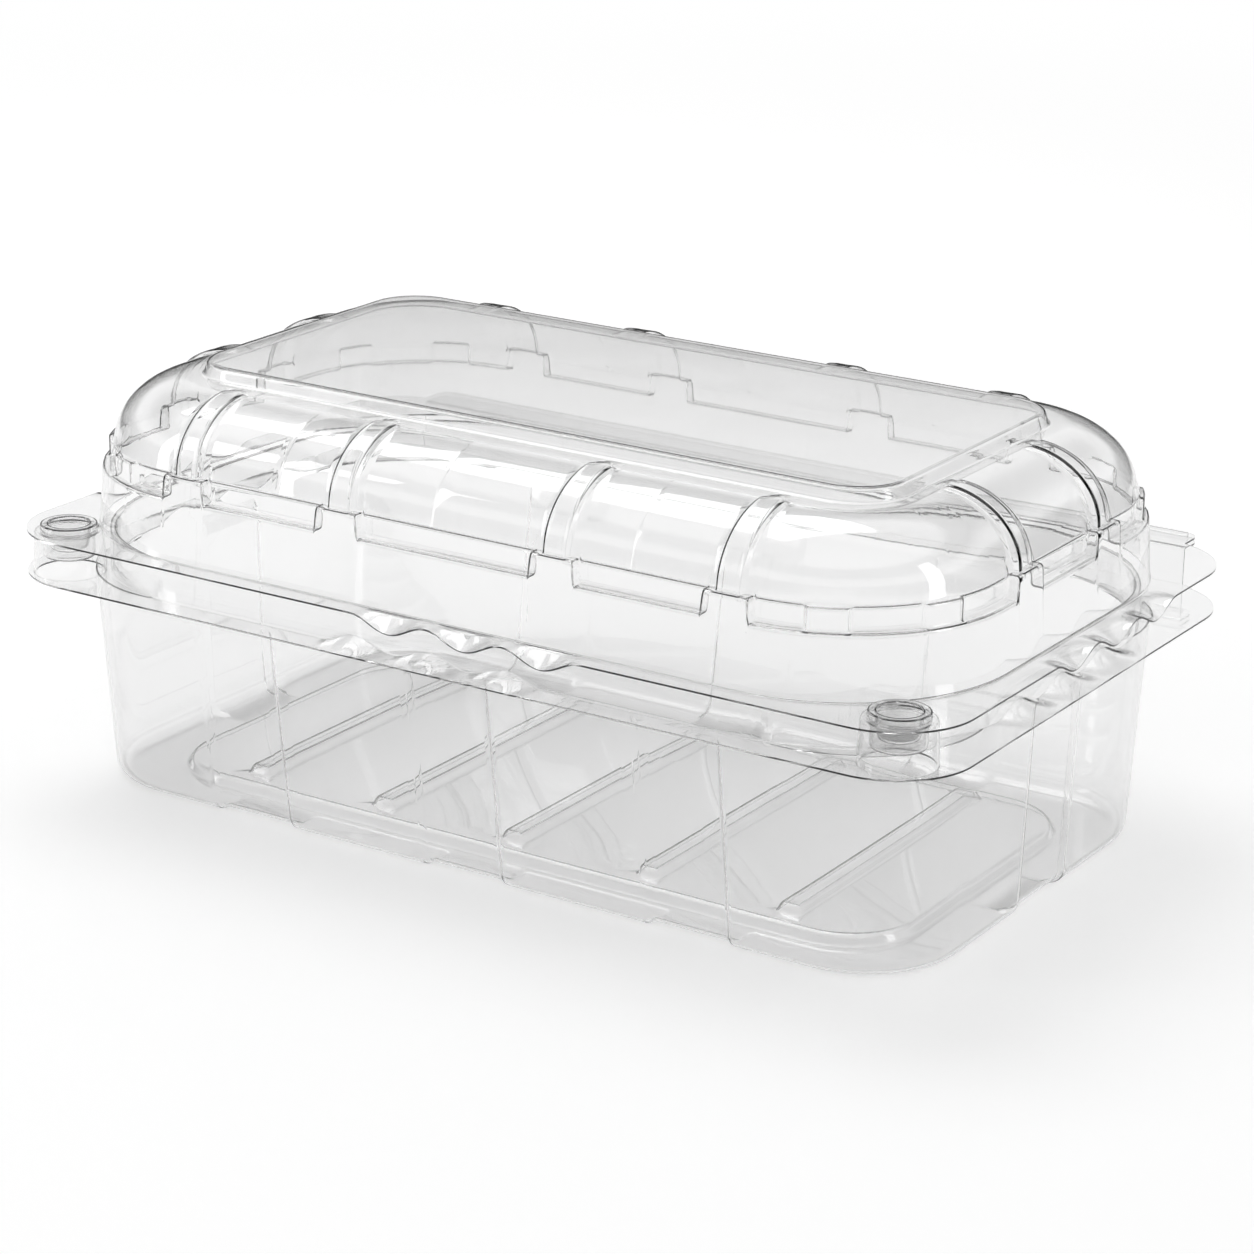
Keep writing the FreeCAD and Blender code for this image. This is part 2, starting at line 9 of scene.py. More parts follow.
import bmesh
import bpy
import numpy as np
from bpy.props import FloatProperty, IntProperty, PointerProperty, StringProperty
from mathutils import Matrix, Vector
from mathutils.geometry import delaunay_2d_cdt


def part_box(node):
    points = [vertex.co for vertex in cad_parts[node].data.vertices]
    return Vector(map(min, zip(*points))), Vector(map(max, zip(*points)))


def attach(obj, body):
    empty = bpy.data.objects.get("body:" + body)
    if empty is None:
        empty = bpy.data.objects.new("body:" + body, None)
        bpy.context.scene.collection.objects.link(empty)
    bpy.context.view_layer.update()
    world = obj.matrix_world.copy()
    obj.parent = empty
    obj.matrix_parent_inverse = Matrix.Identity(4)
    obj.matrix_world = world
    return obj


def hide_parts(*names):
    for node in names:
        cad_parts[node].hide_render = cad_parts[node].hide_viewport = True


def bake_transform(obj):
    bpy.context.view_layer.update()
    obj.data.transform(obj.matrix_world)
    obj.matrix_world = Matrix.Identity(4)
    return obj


bl_info = {
    "name": "Clear clamshell pack",
    "version": (1, 0, 0),
    "blender": (4, 5, 0),
    "location": "View3D > Sidebar > Clamshell",
    "description": "Skins, clear sheet and studio for a hinged clamshell pack",
    "category": "Object",
}

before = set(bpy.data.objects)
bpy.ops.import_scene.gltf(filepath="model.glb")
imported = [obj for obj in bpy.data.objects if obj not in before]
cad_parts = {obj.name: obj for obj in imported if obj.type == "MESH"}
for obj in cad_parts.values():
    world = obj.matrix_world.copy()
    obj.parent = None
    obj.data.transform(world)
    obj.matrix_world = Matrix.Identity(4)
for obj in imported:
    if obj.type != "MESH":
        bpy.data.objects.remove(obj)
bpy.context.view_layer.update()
TRAY_LOW, TRAY_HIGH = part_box("base_tray")
LID_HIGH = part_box("lid")[1]

MM = 0.001
FLANGE_WIDTH = 142.0
MIDDLE_Y = TRAY_LOW.y / MM + FLANGE_WIDTH / 2
HALF_LENGTH = TRAY_HIGH.x / MM
PACK_TOP = LID_HIGH.z / MM

# Folds: the steps round one, the share of a leg that it may take, the flat stretch beside it, three
# roundings that come back, and the angle past which an edge is drawn sharp
FOLD_STEPS = 4
FOLD_SHARE = 0.42
FLAT_LENGTH, FLAT_SHARE = 0.25, 0.07
CRISP, SOFT, ROUND = 0.3, 0.4, 0.8
SHARP_ANGLE = math.radians(50)

# How wide a step's edge is drawn: posts and flutes of the lid, its corner pads (in radians), the
# set-back strips of the tray, and the cross ribs' sides and ends (inwards, outwards)
POST_EDGE = 0.36
FLUTE_EDGE = 0.42
PAD_EDGE = 0.02
PILASTER_EDGE = 0.7
RIB_SIDE_EDGE = (0.8, 0.45)
RIB_END_EDGE = (1.0, 0.55)

# Three shallow lines across the dome's long sides, which forming left
DOME_LINES = (-43.3, -4.5, 43.3)
DOME_LINE_WIDTH = 0.6
DOME_LINE_DEPTH = 0.12

# Where skins meet: how far a wall's or a ring's foot runs into its flange, the seam at the crease,
# and how near two points are one, in metres and in millimetres
FLANGE_LAP = 0.5
RING_LAP = 0.35
CREASE_SEAM = 0.02
MERGE_REACH = 2e-6
SAME_POINT = 1e-5

# How fine the rings and flat parts are: (reach, spacing) of even places, points in a corner or a
# turn, extra places beside the edges of posts, flutes and ribs, rows of the tray's wall and how
# many of them are set back, the least room between places, before a side's end and in a flat part
LID_GRID = (60.0, 15.0)
LID_END_PLACES = (-8.0, 0.0, 8.0)
TRAY_GRID = (66.0, 6.0)
FLANGE_LONG_GRID, FLANGE_SHORT_GRID = (96.0, 4.0), (52.0, 4.0)
RIB_GRID = (36.0, 6.0)
LID_CORNER, TRAY_CORNER, FLANGE_CORNER = 19, 29, 20
CORNER_START = (0.002, 0.005, 0.0085, 0.012, 0.016, 0.022)
FLUTE_SPLIT = (-1.4, 0, 1.4)
POST_SPARE = 1.2
RIB_SIDE_PLACES = (-1.0, -0.7, -0.35, 0, 0.35, 0.6)
RIB_END_PLACES = (-1.2, -0.8, -0.4, 0, 0.4, 0.7)
TONGUE_PLACES = 41
END_TURNS = np.linspace(0, math.pi / 2, 7)
CREASE_TURNS = np.linspace(-math.pi / 2, math.pi / 2, 13)
FOOT_TURNS = np.linspace(0, math.pi / 2, 9)
SHOULDER_TURNS = np.radians(np.concatenate([np.linspace(8, 58, 10), np.linspace(60.5, 90, 13)]))
WALL_SHARES = np.array([0.04, 0.2, 0.4, 0.6, 0.8, 0.94, 0.97, 1.0])
SET_BACK_ROWS = 6
LEAST_STEP, LEAST_END, LEAST_GAP = 0.08, 0.05, 0.12

# A point belongs to the side that it faces at least this squarely
FACING = 0.75
# A vent's waves fade out over this height of the collar, and run this far past the flange. Points
# lie across them in so many rows
VENT_FADE = 6.0
VENT_LAP = 1.0
VENT_ROWS = 6
# Two ends closer than this touch
TOUCH = 0.01

# Studio, in metres and degrees: the camera as fitted to the photo, the lamps, the floor and what
# the clear sheet sees round it
CAMERA_PLACE = (0.408067, -0.6401245, 0.298049)
CAMERA_AZIMUTH, CAMERA_ELEVATION, CAMERA_ROLL = 32.49, 18.89, 0.87
CAMERA_LENS = 105.26
LAMP_AIM = Vector((0, 0, 0.05))
KEY_PLACE, KEY_SIZE = (-0.5, 0.3, 1.3), (1.0, 0.8)
SIDE_PLACES = {"side_right": (1.3, 0.1, 0.5), "side_left": (-1.0, -0.9, 0.6)}
SIDE_SIZE = (0.25, 0.9)
FLOOR_REACH = 30.0
FLOOR_LEVEL = -0.0003
FLOOR_GLOW = 0.27
TABLE_GLOW = 0.22
FAR_FLOOR_GREY = 0.05
LIT_TABLE = (0.5, 1.1)
EVEN_LIGHT = 0.5
ROOM_GREYS = ((0.0, 0.02), (0.2, 0.05), (0.3, 0.9), (0.42, 0.7), (0.52, 0.06), (0.68, 0.1),
              (0.76, 1.0), (1.0, 1.0))
CLEAR_BOUNCES, GLOSSY_BOUNCES = 16, 6
PET_IOR = 1.575


def length(name, millimetres, note):
    """A length in the panel, given here in millimetres."""
    return FloatProperty(name=name, description=note, default=millimetres * MM, min=0.0,
                         unit="LENGTH", subtype="DISTANCE", precision=5)


def colour(name, hex_code, note):
    return StringProperty(name=name, description=note + ", as an sRGB hex code", default=hex_code)


class SheetSizes(bpy.types.PropertyGroup):
    thickness: length("Sheet", 0.4, "Thickness of the formed sheet")
    flange_width: length("Flange width", FLANGE_WIDTH, "Width over the flanges, without the hinge")
    flange_corner: length("Flange corner", 17.6, "Corner radius of both flanges")
    waviness: length("Waviness", 0.02, "Height of the slow waves that forming leaves in the sheet")
    wave_length: length("Wave length", 22.0, "Length of those waves")
    tint: colour("Tint", "#FCFCFC", "Colour of the clear sheet")
    # Near-black colour of the sheet's rim faces: painted shade for the dark line along its edges
    edge: colour("Cut edge", "#1C1F22", "Colour of the sheet's cut edge")
    shade: colour("Shade", "#EBEBEB", "What one face of the sheet leaves of a lamp's light")


class LidSizes(bpy.types.PropertyGroup):
    level: length("Flange level", 58.9, "Height of the lid flange's top")
    wall_x: length("Wall, half length", 109.0, "Half length of the wall at the flange")
    wall_y: length("Wall, half width", 66.3, "Half width of the wall at the flange")
    wall_corner: length("Wall corner", 37.6, "Corner radius of the wall")
    draft: length("Draft", 1.0, "How far the lower wall leans in")
    ledge: length("Ledge level", 72.5, "Height of the ledge at the foot of the bands")
    band_top: length("Band level", 77.5, "Height of the bands' top")
    band_depth: length("Band depth", 2.8, "How far the bands are set back")
    bead: length("Bead", 0.6, "How far the bead over a band stands out")
    shoulder_reach: length("Shoulder reach", 16.5, "How far the rounded shoulder runs in")
    shoulder_rise: length("Shoulder rise", 14.0, "How far the rounded shoulder rises")
    panel_x: length("Panel, half length", 86.2, "Half length of the raised panel")
    panel_y: length("Panel, half width", 41.0, "Half width of the raised panel")
    panel_corner: length("Panel corner", 12.0, "Corner radius of the raised panel")
    flute_middle: length("Middle flutes", 26.5, "Inner flutes, from the middle of a long side")
    flute_end: length("End flutes", 66.5, "Outer flutes, from the middle of a long side")
    flute_side: length("Side flutes", 17.5, "Flutes, from the middle of a short side")
    flute_width: length("Flute width", 6.0, "Width of a flute")
    flute_height: length("Flute height", 1.5, "How far a flute stands proud at its foot")
    flute_top: length("Flute top", 0.8, "How far a flute stands proud at its top")
    post_width: length("Post width", 10.6, "Width of a post between two bands")
    pad_height: length("Pad height", 1.7, "How far a corner pad stands proud of the band")
    pad_width: length("Pad width", 8.8, "Width of a corner pad")
    pad_angle: FloatProperty(name="Pad angle", description="Angle between the two pads of a corner",
                             default=math.radians(39.0), unit="ROTATION", subtype="ANGLE")


class TraySizes(bpy.types.PropertyGroup):
    level: length("Flange level", 49.3, "Height of the tray flange's top")
    collar_x: length("Collar, half length", 108.25, "Half length over the folded collar")
    collar_y: length("Collar, half width", 65.55, "Half width over the folded collar")
    collar_corner: length("Collar corner", 40.0, "Corner radius of the collar")
    collar_top: length("Collar level", 58.2, "Height of the collar")
    collar_width: length("Collar width", 1.6, "Width over both layers of the collar")
    wall_corner: length("Wall corner", 28.0, "Corner radius of the wall under the flange")
    foot_x: length("Foot, half length", 105.5, "Half length of the foot")
    foot_y: length("Foot, half width", 58.2, "Half width of the foot")
    foot_corner: length("Foot corner", 23.0, "Corner radius of the foot")
    foot_edge: length("Foot rounding", 4.0, "Rounding between wall and floor")
    floor_x: length("Floor, half length", 91.5, "Half length of the raised floor")
    floor_y: length("Floor, half width", 44.2, "Half width of the raised floor")
    floor_corner: length("Floor corner", 16.0, "Corner radius of the raised floor")
    floor_rise: length("Floor rise", 2.2, "How far the raised floor stands up")
    rib_count: IntProperty(name="Ribs", description="Cross ribs in the floor", default=5, min=0)
    rib_pitch: length("Rib pitch", 34.0, "Spacing of the cross ribs")
    rib_width: length("Rib width", 5.0, "Width of a cross rib")
    rib_half: length("Rib half length", 39.2, "Half length of a cross rib")
    rib_rise: length("Rib level", 4.0, "Height of a cross rib")
    pilaster_width: length("Pilaster width", 19.5, "Width of a strip that is set back")
    pilaster_depth: length("Pilaster depth", 0.8, "How far such a strip is set back")
    pilaster_pitch: length("Pilaster pitch", 55.0, "Spacing of the strips, long sides")


class VentSizes(bpy.types.PropertyGroup):
    pitch: length("Wave", 18.6, "Length of one vent wave")
    count: IntProperty(name="Waves", description="Waves in a vent", default=3, min=0)
    lid_drop: length("Lid drop", 3.0, "How far the lid's flange dips")
    tray_lift: length("Tray lift", 2.5, "How far the tray's flange rises")
    lid_middle: length("Lid vent", 9.3, "Middle of the lid's waves, from the side's middle")
    tray_middle: length("Tray vent", 2.7, "Middle of the tray's waves, the other way")


class ButtonSizes(bpy.types.PropertyGroup):
    place_x: length("Across", 102.7, "Buttons, from the middle along the pack")
    place_y: length("Deep", 60.2, "Buttons, from the middle across the pack")
    ring_radius: length("Ring radius", 6.2, "Raised ring round a plug")
    ring_rise: length("Ring rise", 1.2, "Height of that ring over the flange")
    plug_radius: length("Plug radius", 4.9, "Plug, at its top")
    plug_tip: length("Plug tip", 4.2, "Plug, at its tip")
    plug_length: length("Plug length", 4.6, "Plug, below the flange's top")
    boss_foot: length("Boss foot", 8.0, "Tray boss radius, at its foot")
    boss_head: length("Boss head", 7.6, "Tray boss radius, at its top")
    boss_top: length("Boss level", 58.4, "Height of a boss")
    socket_radius: length("Socket radius", 5.25, "Inside of a socket")
    socket_bottom: length("Socket level", 53.1, "Height of a socket's bottom")
    facets: IntProperty(name="Facets", description="Points round a button", default=44, min=12)


class HingeSizes(bpy.types.PropertyGroup):
    half_length: length("Tongue, half length", 101.5, "Half length of the hinge tongue")
    reach: length("Tongue reach", 7.4, "From the flange out to the crease")
    end_rounding: length("End rounding", 3.0, "Rounding of the tongue's free corners")
    gap: length("Gap", 0.85, "Between the tongue's two layers")


class StudioLook(bpy.types.PropertyGroup):
    floor: colour("Floor", "#F7F7F7", "Colour of the floor")
    key_power: FloatProperty(name="Key lamp", description="Power of the large lamp overhead",
                             default=6.0, unit="POWER")
    rim_power: FloatProperty(name="Side lamps", description="Power of each side lamp",
                             default=2.0, unit="POWER")


SIZE_GROUPS = {"pack_sheet": SheetSizes, "pack_lid": LidSizes, "pack_tray": TraySizes,
               "pack_vents": VentSizes, "pack_buttons": ButtonSizes, "pack_hinge": HingeSizes,
               "pack_studio": StudioLook}


class Sizes:
    """One group of the panel's values, its lengths turned to millimetres."""

    def __init__(self, scene, group_name):
        group = getattr(scene, group_name)
        for name, prop in group.bl_rna.properties.items():
            if name in ("rna_type", "name"):
                continue
            number = getattr(group, name)
            setattr(self, name, round(number / MM, 6) if prop.unit == "LENGTH" else number)


def linear(hex_code):
    """An sRGB hex colour as linear RGBA."""
    parts = [int(hex_code.lstrip("#")[k:k + 2], 16) / 255 for k in (0, 2, 4)]
    return [p / 12.92 if p <= 0.04045 else ((p + 0.055) / 1.055) ** 2.4 for p in parts] + [1.0]


def add(tree, kind, links=None, **settings):
    """Adds a node: links go into its inputs, settings onto its inputs or its own values."""
    node = tree.nodes.new(kind)
    for name, setting in settings.items():
        if hasattr(node, name):
            setattr(node, name, setting)
        else:
            node.inputs[name.replace("_", " ")].default_value = setting
    for name, output in (links or {}).items():
        tree.links.new(output, node.inputs[name])
    return node


# Outlines and profiles

def smooth(low, high, at):
    """0 up to low, 1 from high on, and a smooth step between."""
    share = np.clip((at - low) / (high - low), 0, 1)
    return share * share * (3 - 2 * share)


def even_places(reach, spacing):
    return np.arange(-reach, reach + spacing / 2, spacing)


def corner_shares(count):
    return np.linspace(0, 1, count)[1:-1]


def corner_points(shares, limit, half_x, half_y, corner):
    """Points on the corner at +X +Y, at shares of the way from limit[0] on the long side."""
    run_x, run_y = half_x - corner - limit[0], half_y - corner - limit[1]
    arc = corner * math.pi / 2
    along = shares * (run_x + arc + run_y)
    angle = np.clip((along - run_x) / corner, 0, math.pi / 2)
    x = limit[0] + np.clip(along, 0, max(run_x, 0)) + corner * np.sin(angle)
    y = half_y - corner * (1 - np.cos(angle)) - np.clip(along - run_x - arc, 0, None)
    return x, y


class Track:
    """Where the points of every ring of a skin lie: places along the sides, shares of a corner."""

    def __init__(self, limit, long_places, short_places, shares):
        self.limit = limit
        self.long = self.between(long_places, limit[0])
        self.short = self.between(short_places, limit[1])
        self.shares = np.unique(np.round(shares, 5))

    @staticmethod
    def between(places, limit):
        kept = [p for p in places if abs(p) < limit - LEAST_END] + [-limit, limit]
        kept = np.unique(np.round(kept, 3))
        return kept[np.concatenate(([True], np.diff(kept) > LEAST_STEP))]

    def ring(self, half_x, half_y, corner):
        """The ring's points, counter-clockwise seen from above, from the front left."""
        x, y = corner_points(self.shares, self.limit, half_x, half_y, corner)
        side_x, side_y = np.full(len(self.short), half_x), np.full(len(self.long), half_y)
        runs = ((self.long, -side_y), (x, -y), (side_x, self.short), (x[::-1], y[::-1]),
                (self.long[::-1], side_y), (-x, y), (-side_x, self.short[::-1]),
                (-x[::-1], -y[::-1]))
        return np.concatenate([np.stack(run, 1) for run in runs])

    def outward(self, half_x, half_y, corner):
        """The direction away from the pack's middle line at each point, level with the ring."""
        step = self.ring(half_x + 1, half_y + 1, corner + 1) - self.ring(half_x, half_y, corner)
        return step / np.linalg.norm(step, axis=1)[:, None]

    def corner_share(self):
        """The share of its corner at each point, and a value below 0 on the sides."""
        side = (np.full(len(self.long), -1.0), np.full(len(self.short), -1.0))
        turn = (self.shares, self.shares[::-1])
        return np.concatenate([side[0], turn[0], side[1], turn[1]] * 2)


def rounded(stations):
    """Rows through stations (half_x, half_y, corner, level, rounding), each fold rounded off."""
    points = np.array([s[:4] for s in stations], float)
    rows = [points[0]]
    for k in range(1, len(points) - 1):
        before, here, after = points[k - 1:k + 2]
        rounding = stations[k][4]
        if not rounding:
            rows.append(here)
            continue
        legs = []
        for leg in (before - here, after - here):
            span = math.hypot(leg[1], leg[3])
            reach = min(rounding, FOLD_SHARE * span)
            legs.append((leg / span, reach, min(FLAT_LENGTH, FLAT_SHARE * span)))
        (back, reach_in, spare_in), (ahead, reach_out, spare_out) = legs
        rows.append(here + back * (reach_in + spare_in))
        for t in np.linspace(0, 1, FOLD_STEPS + 1):
            rows.append(here + back * reach_in * (1 - t) ** 2 + ahead * reach_out * t * t)
        rows.append(here + ahead * (reach_out + spare_out))
    rows.append(points[-1])
    return np.array(rows)


def edge_places(middles, half_width, spread, steps=2):
    """Places across the two edges of a raised or sunk strip at each middle."""
    offsets = [spread * k / steps for k in range(-steps, steps + 1)]
    return [m + side * half_width + o for m in middles for side in (-1, 1) for o in offsets]


def strip_weight(points, outward, long_middles, short_middles, half_width, spread, past=0.0):
    """1 on strips across the sides at the given middles, 0 off them, smooth between.

    Past a strip's end, past is the distance from it, and rounds the end off.
    """
    weight = np.zeros(len(points))
    for axis, middles in ((0, long_middles), (1, short_middles)):
        facing = np.abs(outward[:, 1 - axis]) > FACING
        for middle in middles:
            off = np.hypot(points[:, axis] - middle, past)
            here = 1 - smooth(half_width - spread, half_width + spread, off)
            weight = np.maximum(weight, np.where(facing, here, 0))
    return weight


class Skin:
    """Points and faces of one side of a sheet, gathered piece by piece."""

    def __init__(self):
        self.points, self.faces, self.count = [], [], 0

    def add(self, points, faces):
        self.points.append(np.asarray(points, float))
        self.faces += [[i + self.count for i in face] for face in faces]
        self.count += len(points)

    def add_rows(self, rows, closed=True):
        """Rows of equally many points, joined by quads."""
        rows = np.asarray(rows)
        n = rows.shape[1]
        span = n if closed else n - 1
        faces = [(r * n + k, r * n + (k + 1) % n, (r + 1) * n + (k + 1) % n, (r + 1) * n + k)
                 for r in range(len(rows) - 1) for k in range(span)]
        self.add(rows.reshape(-1, 3), faces)

    def make(self, name, way, materials, thickness):
        """The skin as an object with a wall behind it.

        With way 1 its highest face points up, and with way -1 its lowest one points down.
        """
        points = np.concatenate(self.points)
        points[:, 1] += MIDDLE_Y
        mesh = bpy.data.meshes.new(name)
        mesh.from_pydata((points * MM).tolist(), [], self.faces)
        form = bmesh.new()
        form.from_mesh(mesh)
        bmesh.ops.remove_doubles(form, verts=form.verts, dist=MERGE_REACH)
        bmesh.ops.dissolve_degenerate(form, edges=form.edges, dist=MERGE_REACH)
        bmesh.ops.recalc_face_normals(form, faces=form.faces)
        known = max(form.faces, key=lambda f: way * f.calc_center_median().z)
        if known.normal.z * way < 0:
            bmesh.ops.reverse_faces(form, faces=form.faces)
        form.to_mesh(mesh)
        form.free()
        return thicken(name, mesh, materials, thickness)


def thicken(name, mesh, materials, thickness):
    """An object with the mesh as its outer face and a wall of that thickness behind it.

    The first material is the sheet's, and the last one that of its cut edge, whose near-black
    colour is painted shade.
    """
    rough = bpy.data.objects.new(name + "_skin", mesh)
    bpy.context.scene.collection.objects.link(rough)
    wall = rough.modifiers.new("wall", "SOLIDIFY")
    wall.thickness, wall.offset = thickness * MM, -1
    wall.use_even_offset = wall.use_quality_normals = wall.use_rim = True
    wall.material_offset_rim = len(materials) - 1
    for material in materials:
        mesh.materials.append(material)
    return plain(rough, name, materials)


def plain(rough, name, materials):
    """The evaluated object as a plain mesh of its own, in place of the rough one."""
    evaluated = rough.evaluated_get(bpy.context.evaluated_depsgraph_get())
    mesh = bpy.data.meshes.new_from_object(evaluated)
    bpy.data.objects.remove(rough)
    mesh.name = name
    mesh.materials.clear()
    for material in materials:
        mesh.materials.append(material)
    mesh.polygons.foreach_set("use_smooth", [True] * len(mesh.polygons))
    mesh.set_sharp_from_angle(angle=SHARP_ANGLE)
    made = bpy.data.objects.new(name, mesh)
    bpy.context.scene.collection.objects.link(made)
    return made


def inside(points, loop):
    """Which points lie inside a closed loop."""
    x, y = points[:, 0][:, None], points[:, 1][:, None]
    x1, y1 = loop[:, 0], loop[:, 1]
    x2, y2 = np.roll(x1, -1), np.roll(y1, -1)
    crosses = (y1 > y) != (y2 > y)
    with np.errstate(divide="ignore", invalid="ignore"):
        at = x1 + (y - y1) * (x2 - x1) / (y2 - y1)
    return (crosses & (x < at)).sum(1) % 2 == 1


def flat_sheet(outer, holes, extra):
    """A flat region between loops as points and triangles, with extra points inside it."""
    extra = np.asarray(extra, float).reshape(-1, 2)
    if len(extra):
        keep = inside(extra, outer)
        for hole in holes:
            keep &= ~inside(extra, hole)
        loops = np.concatenate([outer, *holes])
        near = np.array([np.min(np.hypot(*(loops - p).T)) for p in extra])
        extra = extra[keep & (near > LEAST_GAP)]
    points, edges = [], []
    for loop in (outer, *holes):
        start = len(points)
        points += [Vector(p) for p in loop]
        edges += [(start + k, start + (k + 1) % len(loop)) for k in range(len(loop))]
    points += [Vector(p) for p in extra]
    found = delaunay_2d_cdt(points, edges, [], 0, SAME_POINT)
    made = np.array([tuple(p) for p in found[0]])
    faces = np.array([tuple(f) for f in found[2]])
    middles = made[faces].mean(1)
    keep = inside(middles, outer)
    for hole in holes:
        keep &= ~inside(middles, hole)
    return made, faces[keep].tolist()


def circle(middle, radius, count):
    turn = 2 * math.pi * np.arange(count) / count
    return np.stack([middle[0] + radius * np.cos(turn), middle[1] + radius * np.sin(turn)], 1)


def vent_wave(along, middle, vents):
    """Height of a vent's waves, from 0 to 1, at places along a side."""
    half = vents.pitch * vents.count / 2
    off = along - middle
    wave = (1 - np.cos(2 * math.pi * (off + half) / vents.pitch)) / 2
    return np.where(np.abs(off) < half, wave, 0)


def vent_lift(points, middle, vents, near, far):
    """Share of a vent's height at points of a flange: 0 at the far line, 1 at the near one."""
    x, y = points[:, 0], points[:, 1]
    lift = np.zeros(len(points))
    for across, along, k in ((-y, x, 1), (x, y, 0), (-x, -y, 0)):
        share = np.clip((across - far[k]) / (near[k] - far[k]), 0, 1)
        lift = np.maximum(lift, np.where(across > min(near[k], far[k]) - VENT_LAP,
                                         share * vent_wave(along, middle, vents), 0))
    return lift


def vent_places(middle, vents, steps=16):
    half = vents.pitch * vents.count / 2
    return np.linspace(middle - half, middle + half, vents.count * steps + 1)


def flange_points(middle, vents, inner, outer):
    """Points across the vented parts of a flange, on a fine grid."""
    places = vent_places(middle, vents)
    made = []
    sides = ((1, lambda a, d: (a, -d)), (0, lambda a, d: (d, a)), (0, lambda a, d: (-d, -a)))
    for k, lay in sides:
        for deep in np.linspace(inner[k], outer[k], VENT_ROWS)[1:-1]:
            made += [lay(along, deep) for along in places]
    return made


def flange_loop(half_x, half_y, corner, dense, hinge):
    """The flange's outer edge, with the dense places along its vented sides, and with the tongue
    along its back, whose half length, free edge and end rounding hinge gives.
    """
    long_places = np.concatenate([even_places(*FLANGE_LONG_GRID), dense])
    short_places = np.concatenate([even_places(*FLANGE_SHORT_GRID), dense, -dense])
    rim = Track((half_x - corner, half_y - corner), np.unique(np.round(long_places, 3)),
                np.unique(np.round(short_places, 3)), corner_shares(FLANGE_CORNER))
    loop = rim.ring(half_x, half_y, corner)
    half_tongue, line, rounding = hinge
    back = (loop[:, 1] > half_y - corner) & (np.abs(loop[:, 0]) < half_tongue + TOUCH)
    first = int(np.argmax(back))
    end = np.array([[half_tongue, line]])
    if rounding:
        end = np.stack([half_tongue - rounding * (1 - np.cos(END_TURNS)),
                        line - rounding * (1 - np.sin(END_TURNS))], 1)
    start_y = half_y - corner + math.sqrt(corner ** 2 - (half_tongue - half_x + corner) ** 2)
    reach = half_tongue - rounding
    run = [(x, line) for x in tongue_places(reach)[::-1][1:-1]]
    tongue = np.concatenate([[(half_tongue, start_y)], end, run, end[::-1] * (-1, 1),
                             [(-half_tongue, start_y)]])
    kept = loop[~back]
    before = int(np.sum(~back[:first]))
    return np.concatenate([kept[:before], tongue, kept[before:]])


def tongue_places(reach):
    """Places along the hinge tongue, from end to end."""
    return np.linspace(-reach, reach, TONGUE_PLACES)


def button_places(buttons):
    """The two front corners, away from the hinge."""
    return [(side * buttons.place_x, -buttons.place_y) for side in (-1, 1)]


def repeat_tree(name):
    """Geometry Nodes: one button at each given point, made real and given its material."""
    tree = bpy.data.node_groups.new(name, "GeometryNodeTree")
    face = tree.interface
    face.new_socket("Places", in_out="INPUT", socket_type="NodeSocketGeometry")
    face.new_socket("Button", in_out="INPUT", socket_type="NodeSocketObject")
    face.new_socket("Material", in_out="INPUT", socket_type="NodeSocketMaterial")
    face.new_socket("Buttons", in_out="OUTPUT", socket_type="NodeSocketGeometry")
    given = add(tree, "NodeGroupInput").outputs
    button = add(tree, "GeometryNodeObjectInfo", {"Object": given["Button"]})
    spread = add(tree, "GeometryNodeInstanceOnPoints",
                 {"Points": given["Places"], "Instance": button.outputs["Geometry"]})
    real = add(tree, "GeometryNodeRealizeInstances", {"Geometry": spread.outputs[0]})
    coat = add(tree, "GeometryNodeSetMaterial",
               {"Geometry": real.outputs[0], "Material": given["Material"]})
    add(tree, "NodeGroupOutput", {"Buttons": coat.outputs[0]})
    return tree


def repeated_buttons(name, profile, buttons, material):
    """A button turned from its profile (radius, level), set in the two front corners."""
    one = Skin()
    one.add_rows([[(*p, level) for p in circle((0, 0), radius, buttons.facets)]
                  for radius, level in profile])
    mesh = bpy.data.meshes.new(name)
    mesh.from_pydata((np.concatenate(one.points) * MM).tolist(), [], one.faces)
    source = bpy.data.objects.new(name + "_one", mesh)
    places = bpy.data.meshes.new(name + "_places")
    places.from_pydata([(x * MM, y * MM, 0) for x, y in button_places(buttons)], [], [])
    holder = bpy.data.objects.new(name, places)
    for thing in (source, holder):
        bpy.context.scene.collection.objects.link(thing)
    tree = repeat_tree(name + "_nodes")
    nodes = holder.modifiers.new("repeat", "NODES")
    nodes.node_group = tree
    for item in tree.interface.items_tree:
        if item.in_out == "INPUT" and item.name in ("Button", "Material"):
            nodes[item.identifier] = source if item.name == "Button" else material
    made = plain(holder, name, [material])
    points = np.array([tuple(v.co) for v in made.data.vertices]) / MM
    faces = [list(f.vertices) for f in made.data.polygons]
    for thing in (made, source):
        bpy.data.objects.remove(thing)
    return points, faces


def turned(stations):
    """A rounded profile (radius, level) for a button, down to its middle."""
    rows = rounded([(r, r, r, z, rounding) for r, z, rounding in stations])
    return [(max(row[0], 0.0), row[3]) for row in rows]


# Clear sheet

def blank_material(name):
    material = bpy.data.materials.new(name)
    material.use_nodes = True
    material.node_tree.nodes.clear()
    return material


